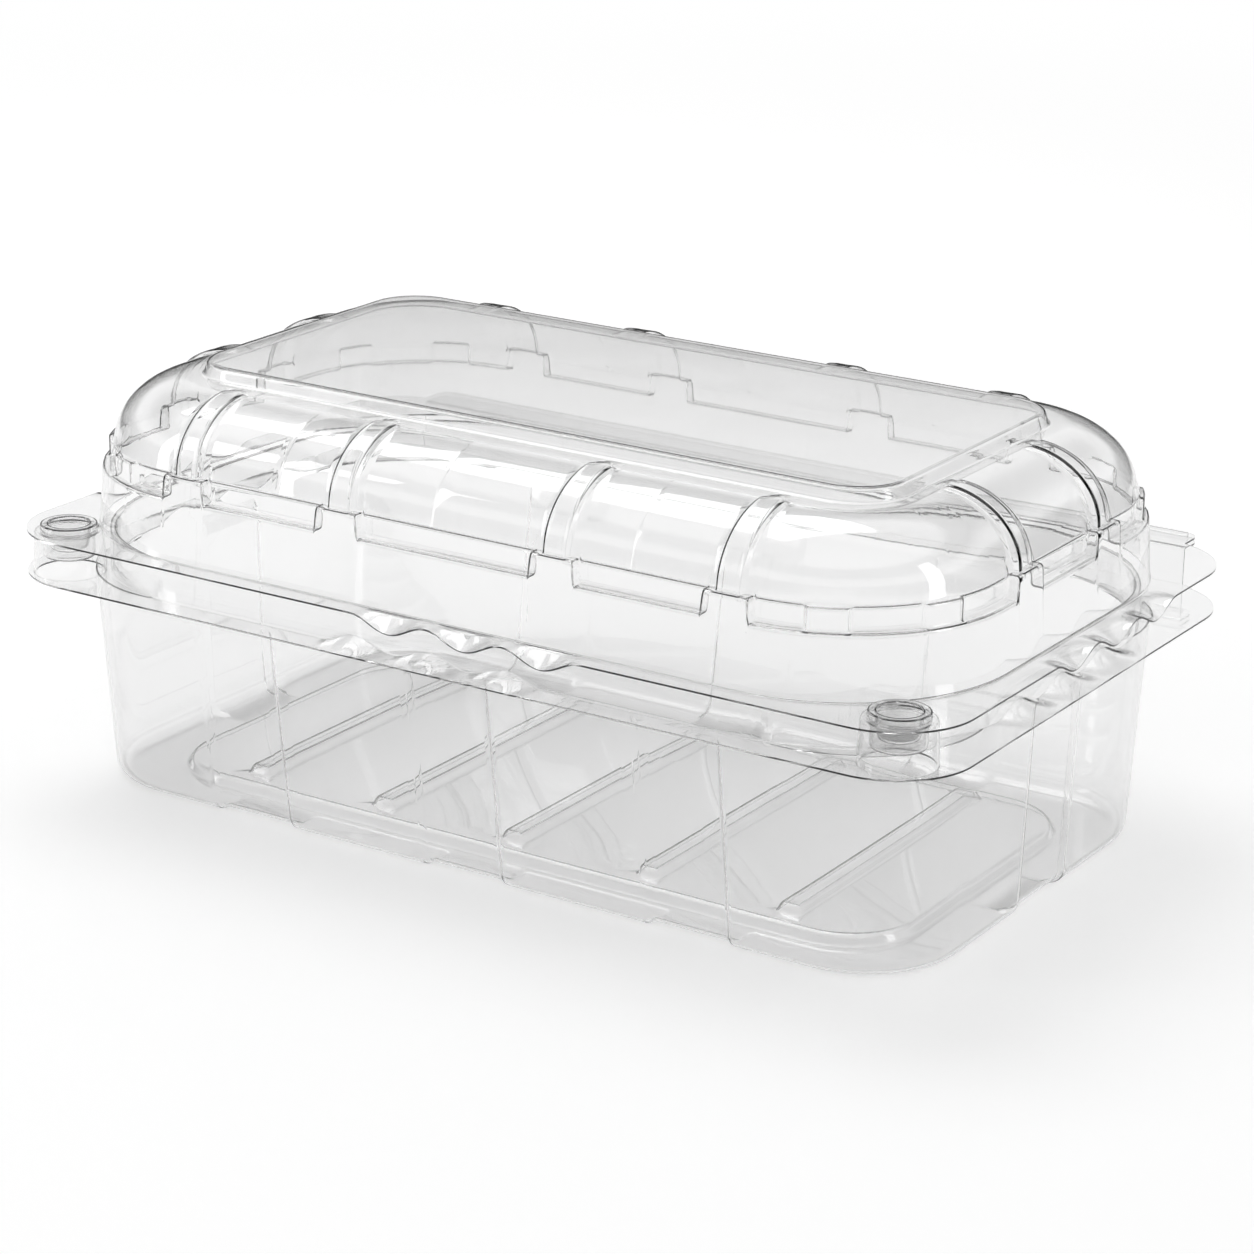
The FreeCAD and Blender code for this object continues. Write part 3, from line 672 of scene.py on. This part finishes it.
def clear_sheet(scene):
    """PET, thermoformed from a polished sheet: clear as glass, with slow waves where it cooled.

    Light comes through it nearly whole, so lamps see it as a faint veil and its edges stay dark.
    """
    name = "clear_pet_thermoformed"
    if name in bpy.data.materials:
        return bpy.data.materials[name]
    sheet = Sizes(scene, "pack_sheet")
    material = blank_material(name)
    tree = material.node_tree
    place = add(tree, "ShaderNodeTexCoord")
    waves = add(tree, "ShaderNodeTexNoise", {"Vector": place.outputs["Object"]},
                Scale=1 / (sheet.wave_length * MM), Detail=1.0)
    bump = add(tree, "ShaderNodeBump", {"Height": waves.outputs[0]},
               Distance=sheet.waviness * MM, Strength=1.0)
    clear = add(tree, "ShaderNodeBsdfPrincipled", {"Normal": bump.outputs[0]},
                Base_Color=linear(sheet.tint), Roughness=0.015, IOR=PET_IOR,
                Transmission_Weight=1.0)
    veil = add(tree, "ShaderNodeBsdfTransparent", Color=linear(sheet.shade))
    ray = add(tree, "ShaderNodeLightPath")
    both = add(tree, "ShaderNodeMixShader", {0: ray.outputs["Is Shadow Ray"],
                                             1: clear.outputs[0], 2: veil.outputs[0]})
    add(tree, "ShaderNodeOutputMaterial", {"Surface": both.outputs[0]})
    return material


def painted_dark_edge(scene):
    """PET where a die cut it: a finely frosted face, given a near-black colour that is painted
    shade.

    Against white it shows as a thin dark line: a little from its frosting, mostly painted in place
    of the dark line that refraction leaves along a clear sheet's edge.
    """
    name = "cut_edge_of_pet"
    if name in bpy.data.materials:
        return bpy.data.materials[name]
    material = blank_material(name)
    tree = material.node_tree
    frosted = add(tree, "ShaderNodeBsdfPrincipled",
                  Base_Color=linear(Sizes(scene, "pack_sheet").edge), Roughness=0.35, IOR=PET_IOR,
                  Transmission_Weight=0.4)
    add(tree, "ShaderNodeOutputMaterial", {"Surface": frosted.outputs[0]})
    return material


# Lid

def lid_track(lid):
    """The lid's track, and the middles of its flutes along the long and the short sides."""
    long_middles = [s * m for s in (-1, 1) for m in (lid.flute_middle, lid.flute_end)]
    short_middles = [-lid.flute_side, lid.flute_side]
    places = []
    for middles in (long_middles, short_middles):
        here = edge_places(middles, lid.post_width / 2, POST_EDGE)
        here += edge_places(middles, lid.flute_width / 2, FLUTE_EDGE, 3)
        here += [m + o for m in middles for o in FLUTE_SPLIT]
        here += [m + s * (lid.post_width / 2 + POST_SPARE) for m in middles for s in (-1, 1)]
        places.append(here)
    places[0] += edge_places(DOME_LINES, 0, DOME_LINE_WIDTH) + list(even_places(*LID_GRID))
    places[1] += LID_END_PLACES
    shares = [*corner_shares(LID_CORNER), *CORNER_START]
    for side in (-1, 1):
        for edge in (-1, 1):
            turn = math.pi / 4 + side * lid.pad_angle / 2 + edge * pad_half_angle(lid)
            shares += [(turn + o * PAD_EDGE) / (math.pi / 2) for o in (-1, -0.5, 0, 0.5, 1)]
    limit = (lid.wall_x - lid.wall_corner, lid.wall_y - lid.wall_corner)
    return Track(limit, *places, shares), long_middles, short_middles


def pad_half_angle(lid):
    return lid.pad_width / 2 / (lid.wall_corner - lid.draft - lid.band_depth)


def lid_rows(lid):
    """Rows of the lid's skin, and the same rows where a post, a flute or a pad stands.

    A station is a set-back from the wall, a level and the rounding of its fold. Stations less than
    1 mm apart shape the small roll at the foot of the dome.
    """
    def at(back, level, rounding=0.0):
        return (lid.wall_x - back, lid.wall_y - back, lid.wall_corner - back, level, rounding)

    foot = lid.draft + lid.band_depth
    high, crown = lid.band_top, lid.band_top + lid.shoulder_rise

    def on_shoulder(turn, proud=0.0, lift=0.0):
        back = foot - proud + (1 - math.cos(turn)) * (lid.shoulder_reach + proud)
        return at(back, high + math.sin(turn) * (lid.shoulder_rise + lift))

    first = SHOULDER_TURNS[0]
    start = [at(-FLANGE_LAP, lid.level), at(0, lid.level, CRISP),
             at(0.8 * lid.draft, lid.ledge - 2.5)]
    base = start + [at(lid.draft, lid.ledge, ROUND), at(foot, lid.ledge, ROUND),
                    at(foot, high - 0.9, SOFT), at(foot - lid.bead, high - 0.2, SOFT),
                    on_shoulder(first)]
    post = start + [at(lid.draft, high, 1.2), at(foot - 0.9, high, CRISP),
                    at(foot - 0.5, high, 0.2), at(foot - 0.2, high + 0.1, CRISP),
                    on_shoulder(first)]
    flute_foot = foot - lid.flute_height
    flute = start + [at(lid.draft, high, 0.9), at(flute_foot - 0.4, high, 0.1),
                     at(flute_foot - 0.1, high, 0.1), at(flute_foot, high + 0.3, CRISP),
                     on_shoulder(first, lid.flute_height, lid.flute_top)]
    front = foot - lid.pad_height
    pad = start + [at(lid.draft, lid.ledge, ROUND), at(front, lid.ledge, 0.5),
                   at(front, high - 0.3, 0.6), at(foot - 0.6, high, SOFT), on_shoulder(first)]
    shoulder = np.array([on_shoulder(t)[:4] for t in SHOULDER_TURNS[1:]])
    fluted = np.array([on_shoulder(t, lid.flute_height, lid.flute_top)[:4]
                       for t in SHOULDER_TURNS[1:]])
    top = lid.panel_x, lid.panel_y, lid.panel_corner
    panel = rounded([on_shoulder(math.pi / 2), (*top, crown, 0.7),
                     (*(t - 0.9 for t in top), PACK_TOP, 0.9),
                     (*(t - 4.0 for t in top), PACK_TOP, 0)])[1:]
    lines = ((base, shoulder), (post, shoulder), (flute, fluted), (pad, shoulder))
    return [np.concatenate([rounded(line), dome, panel]) for line, dome in lines]


def lid_skin(lid):
    """Rows of points over the lid's dome, from the fold at its flange up to the raised panel."""
    track, long_middles, short_middles = lid_track(lid)
    base, post, flute, pad = lid_rows(lid)
    wall = (lid.wall_x, lid.wall_y, lid.wall_corner)
    rim, outward = track.ring(*wall), track.outward(*wall)
    on_post = strip_weight(rim, outward, long_middles, short_middles, lid.post_width / 2, POST_EDGE)
    turn = track.corner_share() * math.pi / 2
    half_pad = pad_half_angle(lid)
    off_pad = np.abs(np.abs(turn - math.pi / 4) - lid.pad_angle / 2)
    on_pad = np.where(turn > 0, 1 - smooth(half_pad - PAD_EDGE, half_pad + PAD_EDGE, off_pad), 0)
    on_line = strip_weight(rim, outward, DOME_LINES, (), DOME_LINE_WIDTH / 2, DOME_LINE_WIDTH / 2)
    steps = np.hypot(np.diff(base[:, 1]), np.diff(base[:, 3]))
    travel = np.concatenate([[0], np.cumsum(steps)])
    dome_top = lid.band_top + lid.shoulder_rise
    crown = int(np.argmax(base[:, 3] > dome_top - 1e-6))
    panel_start = int(np.argmax(base[:, 3] > dome_top + 0.05))
    flute_end = travel[crown] + 0.8 - lid.flute_width / 2
    rows = []
    for k, (row, on, top, corner_pad) in enumerate(zip(base, post, flute, pad)):
        on_flute = 0.0
        if k < panel_start:
            past = max(travel[k] - flute_end, 0.0)
            on_flute = strip_weight(rim, outward, long_middles, short_middles,
                                    lid.flute_width / 2, FLUTE_EDGE, past)
        shift = [on_post * (on[i] - row[i]) + on_flute * (top[i] - on[i])
                 + on_pad * (corner_pad[i] - row[i]) for i in (0, 3)]
        if row[3] > lid.band_top and k < crown:
            shift[0] = shift[0] - on_line * DOME_LINE_DEPTH
        place = track.ring(*row[:3]) + outward * shift[0][:, None]
        rows.append(np.column_stack([place, row[3] + shift[1]]))
    return rows


class PACK_OT_lid(bpy.types.Operator):
    """Make the domed lid with its flange, snap plugs and the hinge tongue's upper layer"""
    bl_idname = "pack.lid"
    bl_label = "Lid"

    def execute(self, context):
        scene = context.scene
        sheet, vents = Sizes(scene, "pack_sheet"), Sizes(scene, "pack_vents")
        buttons, hinge = Sizes(scene, "pack_buttons"), Sizes(scene, "pack_hinge")
        lid = Sizes(scene, "pack_lid")
        material = clear_sheet(scene)
        rows = lid_skin(lid)
        skin = Skin()
        skin.add_rows(rows)
        panel = rows[-1]
        flat, faces = flat_sheet(panel[:, :2], [], [])
        skin.add(np.column_stack([flat, np.full(len(flat), PACK_TOP)]), faces)
        half_width = sheet.flange_width / 2
        outer = flange_loop(HALF_LENGTH, half_width, sheet.flange_corner,
                            vent_places(vents.lid_middle, vents),
                            (hinge.half_length, half_width + hinge.reach - CREASE_SEAM,
                             hinge.end_rounding))
        ring_top = lid.level + buttons.ring_rise
        plug_bottom = lid.level - buttons.plug_length + sheet.thickness
        profile = turned([
            (buttons.ring_radius + RING_LAP, lid.level, 0), (buttons.ring_radius, lid.level, 0.2),
            (buttons.ring_radius, ring_top, 0.35),
            (buttons.plug_radius - sheet.thickness, ring_top, 0.35),
            (buttons.plug_tip - sheet.thickness, plug_bottom, ROUND), (0, plug_bottom, 0)])
        holes = [rows[0][:, :2]] + [circle(place, profile[0][0], buttons.facets)
                                    for place in button_places(buttons)]
        near, far = (HALF_LENGTH, half_width), (lid.wall_x + FLANGE_LAP, lid.wall_y + FLANGE_LAP)
        extra = flange_points(vents.lid_middle, vents, far, near)
        flat, faces = flat_sheet(outer, holes, extra)
        dip = vents.lid_drop * vent_lift(flat, vents.lid_middle, vents, near, far)
        skin.add(np.column_stack([flat, lid.level - dip]), faces)
        skin.add(*repeated_buttons("lid_plugs", profile, buttons, material))
        made = skin.make("lid_shell", 1, [material, painted_dark_edge(scene)], sheet.thickness)
        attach(made, "lid")
        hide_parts("lid")
        return {"FINISHED"}


# Tray

def tray_rows(tray, sheet):
    """Rows of the tray's skin, on the outside of its sheet, and what a set-back strip does to each:
    how far it shifts the row outwards and upwards.
    """
    def off(outline, back, level, rounding=0.0):
        return (*(size - back for size in outline), level, rounding)

    floor = (tray.floor_x, tray.floor_y, tray.floor_corner)
    foot = (tray.foot_x, tray.foot_y, tray.foot_corner)
    collar = (tray.collar_x, tray.collar_y, tray.collar_corner)
    under = tray.level - sheet.thickness
    gap = tray.collar_width - sheet.thickness
    field = rounded([off(floor, 2.5, tray.floor_rise), off(floor, 0.5, tray.floor_rise, 0.6),
                     off(floor, -0.7, 0, 0.6), off(foot, tray.foot_edge + 1.5, 0)])
    edge = [off(foot, (1 - math.sin(turn)) * tray.foot_edge,
                (1 - math.cos(turn)) * tray.foot_edge)[:4] for turn in FOOT_TURNS]
    wall_top = (tray.collar_x - gap, tray.collar_y - gap, tray.wall_corner, under - 0.3)
    share = WALL_SHARES[:, None]
    wall = np.array(edge[-1]) * (1 - share) + np.array(wall_top) * share
    collar_top = tray.collar_top - sheet.thickness
    fold = rounded([off(collar, gap, under + 0.3), off(collar, gap, collar_top, CRISP),
                    off(collar, sheet.thickness, collar_top, CRISP),
                    off(collar, sheet.thickness, under, SOFT), off(collar, -FLANGE_LAP, under)])
    rows = np.concatenate([field, edge, wall, fold])
    out, up = np.zeros(len(rows)), np.zeros(len(rows))
    first, wall_start = len(field), len(field) + len(edge)
    out[first:wall_start] = -tray.pilaster_depth * np.sin(FOOT_TURNS)
    up[first:wall_start] = tray.pilaster_depth * np.cos(FOOT_TURNS)
    out[wall_start:wall_start + SET_BACK_ROWS] = -tray.pilaster_depth
    return rows, out, up


def tray_track(tray, vents):
    """The tray's track, and the middles of the set-back strips along its long sides."""
    long_middles = (-tray.pilaster_pitch, 0.0, tray.pilaster_pitch)
    half = tray.pilaster_width / 2
    waves = vent_places(-vents.tray_middle, vents, 12)
    long_places = [*edge_places(long_middles, half, PILASTER_EDGE), *waves]
    long_places += list(even_places(*TRAY_GRID))
    short_places = [*edge_places((0.0,), half, PILASTER_EDGE), *waves, *-waves]
    limit = (tray.collar_x - tray.collar_corner, tray.collar_y - tray.collar_corner)
    return Track(limit, long_places, short_places, corner_shares(TRAY_CORNER)), long_middles


class PACK_OT_tray(bpy.types.Operator):
    """Make the tray with its collar, flange, sockets and the hinge tongue's lower layer"""
    bl_idname = "pack.tray"
    bl_label = "Tray"

    def execute(self, context):
        scene = context.scene
        sheet, vents = Sizes(scene, "pack_sheet"), Sizes(scene, "pack_vents")
        buttons, hinge = Sizes(scene, "pack_buttons"), Sizes(scene, "pack_hinge")
        tray, lid = Sizes(scene, "pack_tray"), Sizes(scene, "pack_lid")
        material = clear_sheet(scene)
        track, long_middles = tray_track(tray, vents)
        rows, out, up = tray_rows(tray, sheet)
        foot = (tray.foot_x, tray.foot_y, tray.foot_corner)
        rim, outward = track.ring(*foot), track.outward(*foot)
        on = strip_weight(rim, outward, long_middles, (0.0,), tray.pilaster_width / 2,
                          PILASTER_EDGE)
        under = tray.level - sheet.thickness
        half_width = sheet.flange_width / 2
        middle = -vents.tray_middle
        near = (tray.collar_x - sheet.thickness / 2, tray.collar_y - sheet.thickness / 2)
        far = (HALF_LENGTH, half_width)
        outer_layer = tray.collar_x - sheet.thickness - 0.05
        placed = []
        for k, row in enumerate(rows):
            points = track.ring(*row[:3]) + outward * (on * out[k])[:, None]
            level = row[3] + on * up[k]
            if row[0] > outer_layer:
                fade = np.clip(1 - (row[3] - under) / VENT_FADE, 0, 1)
                rise = vent_lift(points, middle, vents, near, far)
                level = level + fade * vents.tray_lift * rise
            placed.append(np.column_stack([points, level]))
        skin = Skin()
        skin.add_rows(placed)
        skin.add(*tray_floor(tray, placed[0][:, :2]))
        outer = flange_loop(HALF_LENGTH, half_width, sheet.flange_corner,
                            vent_places(middle, vents),
                            (hinge.half_length, half_width - FLANGE_LAP, 0))
        boss_top = buttons.boss_top - sheet.thickness
        socket_bottom = buttons.socket_bottom - sheet.thickness
        boss_foot = buttons.boss_foot - sheet.thickness
        socket = buttons.socket_radius + sheet.thickness
        profile = turned([
            (boss_foot + FLANGE_LAP, under, 0), (boss_foot, under, 0.25),
            (buttons.boss_head - sheet.thickness, boss_top, 0.35), (socket, boss_top, 0.35),
            (socket, socket_bottom, ROUND), (0, socket_bottom, 0)])
        holes = [placed[-1][:, :2]] + [circle(place, profile[0][0], buttons.facets)
                                       for place in button_places(buttons)]
        inner = (tray.collar_x + FLANGE_LAP, tray.collar_y + FLANGE_LAP)
        extra = flange_points(middle, vents, inner, far)
        flat, faces = flat_sheet(outer, holes, extra)
        lift = vents.tray_lift * vent_lift(flat, middle, vents, near, far)
        skin.add(np.column_stack([flat, under + lift]), faces)
        skin.add(*repeated_buttons("tray_sockets", profile, buttons, material))
        skin.add_rows(tongue_rows(sheet, hinge, under, lid.level), closed=False)
        made = skin.make("tray_shell", -1, [material, painted_dark_edge(scene)], sheet.thickness)
        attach(made, "base")
        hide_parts("base_tray")
        return {"FINISHED"}


def tongue_rows(sheet, hinge, under, top):
    """The lower layer of the tongue: up from the tray's flange, then out to the crease."""
    half_width = sheet.flange_width / 2
    layer = top - 2 * sheet.thickness - hinge.gap
    line = half_width + hinge.reach - CREASE_SEAM
    end_start = line - hinge.end_rounding
    stations = [(0, half_width - FLANGE_LAP, 0, under, 0), (0, half_width, 0, under, 0.35),
                (0, half_width, 0, layer, 0.35), (0, end_start, 0, layer, 0)]
    rows = [tuple(row) for row in rounded(stations)]
    rows += [(0, line - hinge.end_rounding * (1 - math.sin(turn)), 0, layer)
             for turn in END_TURNS[1:]]
    even = tongue_places(hinge.half_length)
    reach = hinge.half_length - hinge.end_rounding
    inner = even[1:-1] * reach / abs(even[1])
    made = []
    for _, y, _, z in rows:
        past = max(y - end_start, 0) / hinge.end_rounding
        tip = reach + hinge.end_rounding * math.sqrt(max(1 - past * past, 0))
        x = np.concatenate([[-tip], inner, [tip]]) if past else even
        made.append(np.column_stack([x, np.full(len(x), y), np.full(len(x), z)]))
    return made


def tray_floor(tray, loop):
    """The raised floor with its cross ribs."""
    half = tray.rib_width / 2
    middles = [(k - (tray.rib_count - 1) / 2) * tray.rib_pitch for k in range(tray.rib_count)]
    across = [0.0] + [s * (half + o) for s in (-1, 1) for o in RIB_SIDE_PLACES]
    ends = [tray.rib_half + o for o in RIB_END_PLACES]
    along = [*even_places(*RIB_GRID), *ends, *(-e for e in ends)]
    extra = [(m + a, y) for m in middles for a in across for y in along]
    flat, faces = flat_sheet(loop, [], extra)
    lift = np.zeros(len(flat))
    for middle in middles:
        side = 1 - smooth(half - RIB_SIDE_EDGE[0], half + RIB_SIDE_EDGE[1],
                          np.abs(flat[:, 0] - middle))
        end = 1 - smooth(tray.rib_half - RIB_END_EDGE[0], tray.rib_half + RIB_END_EDGE[1],
                         np.abs(flat[:, 1]))
        lift = np.maximum(lift, side * end)
    level = tray.floor_rise + (tray.rib_rise - tray.floor_rise) * lift
    return np.column_stack([flat, level]), faces


# Hinge

class PACK_OT_crease(bpy.types.Operator):
    """Make the crease that the lid turns on, between the tongue's two layers"""
    bl_idname = "pack.crease"
    bl_label = "Hinge crease"

    def execute(self, context):
        scene = context.scene
        sheet, hinge = Sizes(scene, "pack_sheet"), Sizes(scene, "pack_hinge")
        lid = Sizes(scene, "pack_lid")
        material = clear_sheet(scene)
        line = sheet.flange_width / 2 + hinge.reach
        radius = hinge.gap / 2 + sheet.thickness
        middle = lid.level - radius
        reach = hinge.half_length - hinge.end_rounding
        rows = [[(x, line + radius * math.cos(turn), middle + radius * math.sin(turn))
                 for x in tongue_places(reach)] for turn in CREASE_TURNS]
        skin = Skin()
        skin.add_rows(rows, closed=False)
        made = skin.make("hinge_crease", 1, [material], sheet.thickness)
        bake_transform(made)
        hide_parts("living_hinge")
        return {"FINISHED"}


# Studio

def add_lamp(name, place, size, power):
    lamp = bpy.data.lights.new(name, "AREA")
    lamp.shape, lamp.energy = "RECTANGLE", power
    lamp.size, lamp.size_y = size
    made = bpy.data.objects.new(name, lamp)
    made.location = place
    made.rotation_euler = (LAMP_AIM - Vector(place)).to_track_quat("-Z", "Y").to_euler()
    bpy.context.scene.collection.objects.link(made)


def by_ray(tree, light, seen_in_sheet, seen_directly):
    """One shader for light on matt things, one seen in the clear sheet, one seen directly."""
    ray = add(tree, "ShaderNodeLightPath")
    clear = add(tree, "ShaderNodeMath", {0: ray.outputs["Is Glossy Ray"],
                                         1: ray.outputs["Is Transmission Ray"]},
                operation="MAXIMUM")
    inner = add(tree, "ShaderNodeMixShader", {0: clear.outputs[0], 1: light.outputs[0],
                                              2: seen_in_sheet.outputs[0]})
    return add(tree, "ShaderNodeMixShader", {0: ray.outputs["Is Camera Ray"],
                                             1: inner.outputs[0], 2: seen_directly.outputs[0]})


def floor_paper(hex_code):
    """Matt white paper that takes the pack's soft shadow. Seen directly it is white, and the clear
    sheet sees a lit table of limited size in darker surroundings, which draws its folds and edges.
    """
    material = blank_material("white_paper")
    tree = material.node_tree
    paper = add(tree, "ShaderNodeBsdfDiffuse", Color=linear(hex_code))

    def glow(strength):
        return add(tree, "ShaderNodeEmission", Color=(1, 1, 1, 1), Strength=strength).outputs[0]

    lit = add(tree, "ShaderNodeAddShader", {0: paper.outputs[0], 1: glow(FLOOR_GLOW)})
    behind = add(tree, "ShaderNodeAddShader", {0: paper.outputs[0], 1: glow(TABLE_GLOW)})
    place = add(tree, "ShaderNodeTexCoord")
    reach = add(tree, "ShaderNodeVectorMath", {0: place.outputs["Object"]}, operation="LENGTH")
    far = add(tree, "ShaderNodeMapRange", {"Value": reach.outputs["Value"]},
              interpolation_type="SMOOTHSTEP", From_Min=LIT_TABLE[0], From_Max=LIT_TABLE[1])
    table = add(tree, "ShaderNodeMixShader", {0: far.outputs[0], 1: behind.outputs[0],
                                              2: glow(FAR_FLOOR_GREY)})
    open_floor = add(tree, "ShaderNodeMixShader", {0: far.outputs[0], 1: lit.outputs[0],
                                                   2: glow(1.0)})
    surface = by_ray(tree, paper, table, open_floor)
    add(tree, "ShaderNodeOutputMaterial", {"Surface": surface.outputs[0]})
    return material


def studio_world():
    """Even light for matt things. The clear sheet shows a dark room, a pale band, a white top."""
    world = bpy.data.worlds.new("studio")
    world.use_nodes = True
    tree = world.node_tree
    tree.nodes.clear()
    place = add(tree, "ShaderNodeTexCoord")
    parts = add(tree, "ShaderNodeSeparateXYZ", {0: place.outputs["Generated"]})
    room = add(tree, "ShaderNodeValToRGB", {0: parts.outputs["Z"]})
    ramp = room.color_ramp
    (low, low_grey), *between, (high, high_grey) = ROOM_GREYS
    ramp.elements[0].position, ramp.elements[0].color = low, (low_grey,) * 3 + (1,)
    ramp.elements[1].position, ramp.elements[1].color = high, (high_grey,) * 3 + (1,)
    for position, grey in between:
        ramp.elements.new(position).color = (grey,) * 3 + (1,)
    seen = add(tree, "ShaderNodeBackground", {"Color": room.outputs["Color"]}, Strength=1.0)
    even = add(tree, "ShaderNodeBackground", Color=(1, 1, 1, 1), Strength=EVEN_LIGHT)
    white = add(tree, "ShaderNodeBackground", Color=(1, 1, 1, 1), Strength=1.0)
    surface = by_ray(tree, even, seen, white)
    add(tree, "ShaderNodeOutputWorld", {"Surface": surface.outputs[0]})
    return world


def add_camera(scene):
    """The camera in the place, direction and roll that were fitted to the photo's outlines."""
    azimuth, elevation = math.radians(CAMERA_AZIMUTH), math.radians(CAMERA_ELEVATION)
    roll = math.radians(CAMERA_ROLL)
    back = Vector((math.sin(azimuth) * math.cos(elevation),
                   -math.cos(azimuth) * math.cos(elevation), math.sin(elevation)))
    flat_right = Vector((math.cos(azimuth), math.sin(azimuth), 0))
    flat_up = back.cross(flat_right)
    right = flat_right * math.cos(roll) + flat_up * math.sin(roll)
    upward = flat_up * math.cos(roll) - flat_right * math.sin(roll)
    camera = bpy.data.objects.new("camera", bpy.data.cameras.new("camera"))
    camera.data.lens, camera.data.sensor_width = CAMERA_LENS, 36.0
    turn = Matrix((right, upward, back)).transposed()
    camera.matrix_world = Matrix.Translation(CAMERA_PLACE) @ turn.to_4x4()
    scene.collection.objects.link(camera)
    scene.camera = camera


class PACK_OT_studio(bpy.types.Operator):
    """Set the floor, lamps, surroundings and camera"""
    bl_idname = "pack.studio"
    bl_label = "Studio"

    def execute(self, context):
        scene = context.scene
        look = Sizes(scene, "pack_studio")
        mesh = bpy.data.meshes.new("floor")
        corners = ((-1, -1), (1, -1), (1, 1), (-1, 1))
        mesh.from_pydata([(x * FLOOR_REACH, y * FLOOR_REACH, FLOOR_LEVEL) for x, y in corners],
                         [], [(0, 1, 2, 3)])
        mesh.materials.append(floor_paper(look.floor))
        floor = bpy.data.objects.new("floor", mesh)
        scene.collection.objects.link(floor)
        add_lamp("key", KEY_PLACE, KEY_SIZE, look.key_power)
        for name, place in SIDE_PLACES.items():
            add_lamp(name, place, SIDE_SIZE, look.rim_power)
        scene.world = studio_world()
        scene.view_settings.view_transform = "Standard"
        scene.cycles.max_bounces = CLEAR_BOUNCES
        scene.cycles.transmission_bounces = CLEAR_BOUNCES
        scene.cycles.transparent_max_bounces = CLEAR_BOUNCES
        scene.cycles.glossy_bounces = GLOSSY_BOUNCES
        scene.cycles.diffuse_bounces = 1
        scene.cycles.use_light_tree = False
        add_camera(scene)
        return {"FINISHED"}


class PACK_PT_panel(bpy.types.Panel):
    """Sizes of the pack and the steps that make it"""
    bl_idname = "PACK_PT_panel"
    bl_label = "Clear clamshell pack"
    bl_space_type = "VIEW_3D"
    bl_region_type = "UI"
    bl_category = "Clamshell"

    def draw(self, context):
        for group_name, group in SIZE_GROUPS.items():
            box = self.layout.box()
            for prop in group.__annotations__:
                box.prop(getattr(context.scene, group_name), prop)
        for operator in OPERATORS:
            self.layout.operator(operator.bl_idname)


OPERATORS = (PACK_OT_tray, PACK_OT_lid, PACK_OT_crease, PACK_OT_studio)
CLASSES = (*SIZE_GROUPS.values(), *OPERATORS, PACK_PT_panel)


def register():
    for one in CLASSES:
        bpy.utils.register_class(one)
    for name, group in SIZE_GROUPS.items():
        setattr(bpy.types.Scene, name, PointerProperty(type=group))


def unregister():
    for name in SIZE_GROUPS:
        delattr(bpy.types.Scene, name)
    for one in reversed(CLASSES):
        bpy.utils.unregister_class(one)


def main():
    register()
    bpy.ops.pack.tray()
    bpy.ops.pack.lid()
    bpy.ops.pack.crease()
    bpy.ops.pack.studio()


if __name__ == "__main__":
    main()
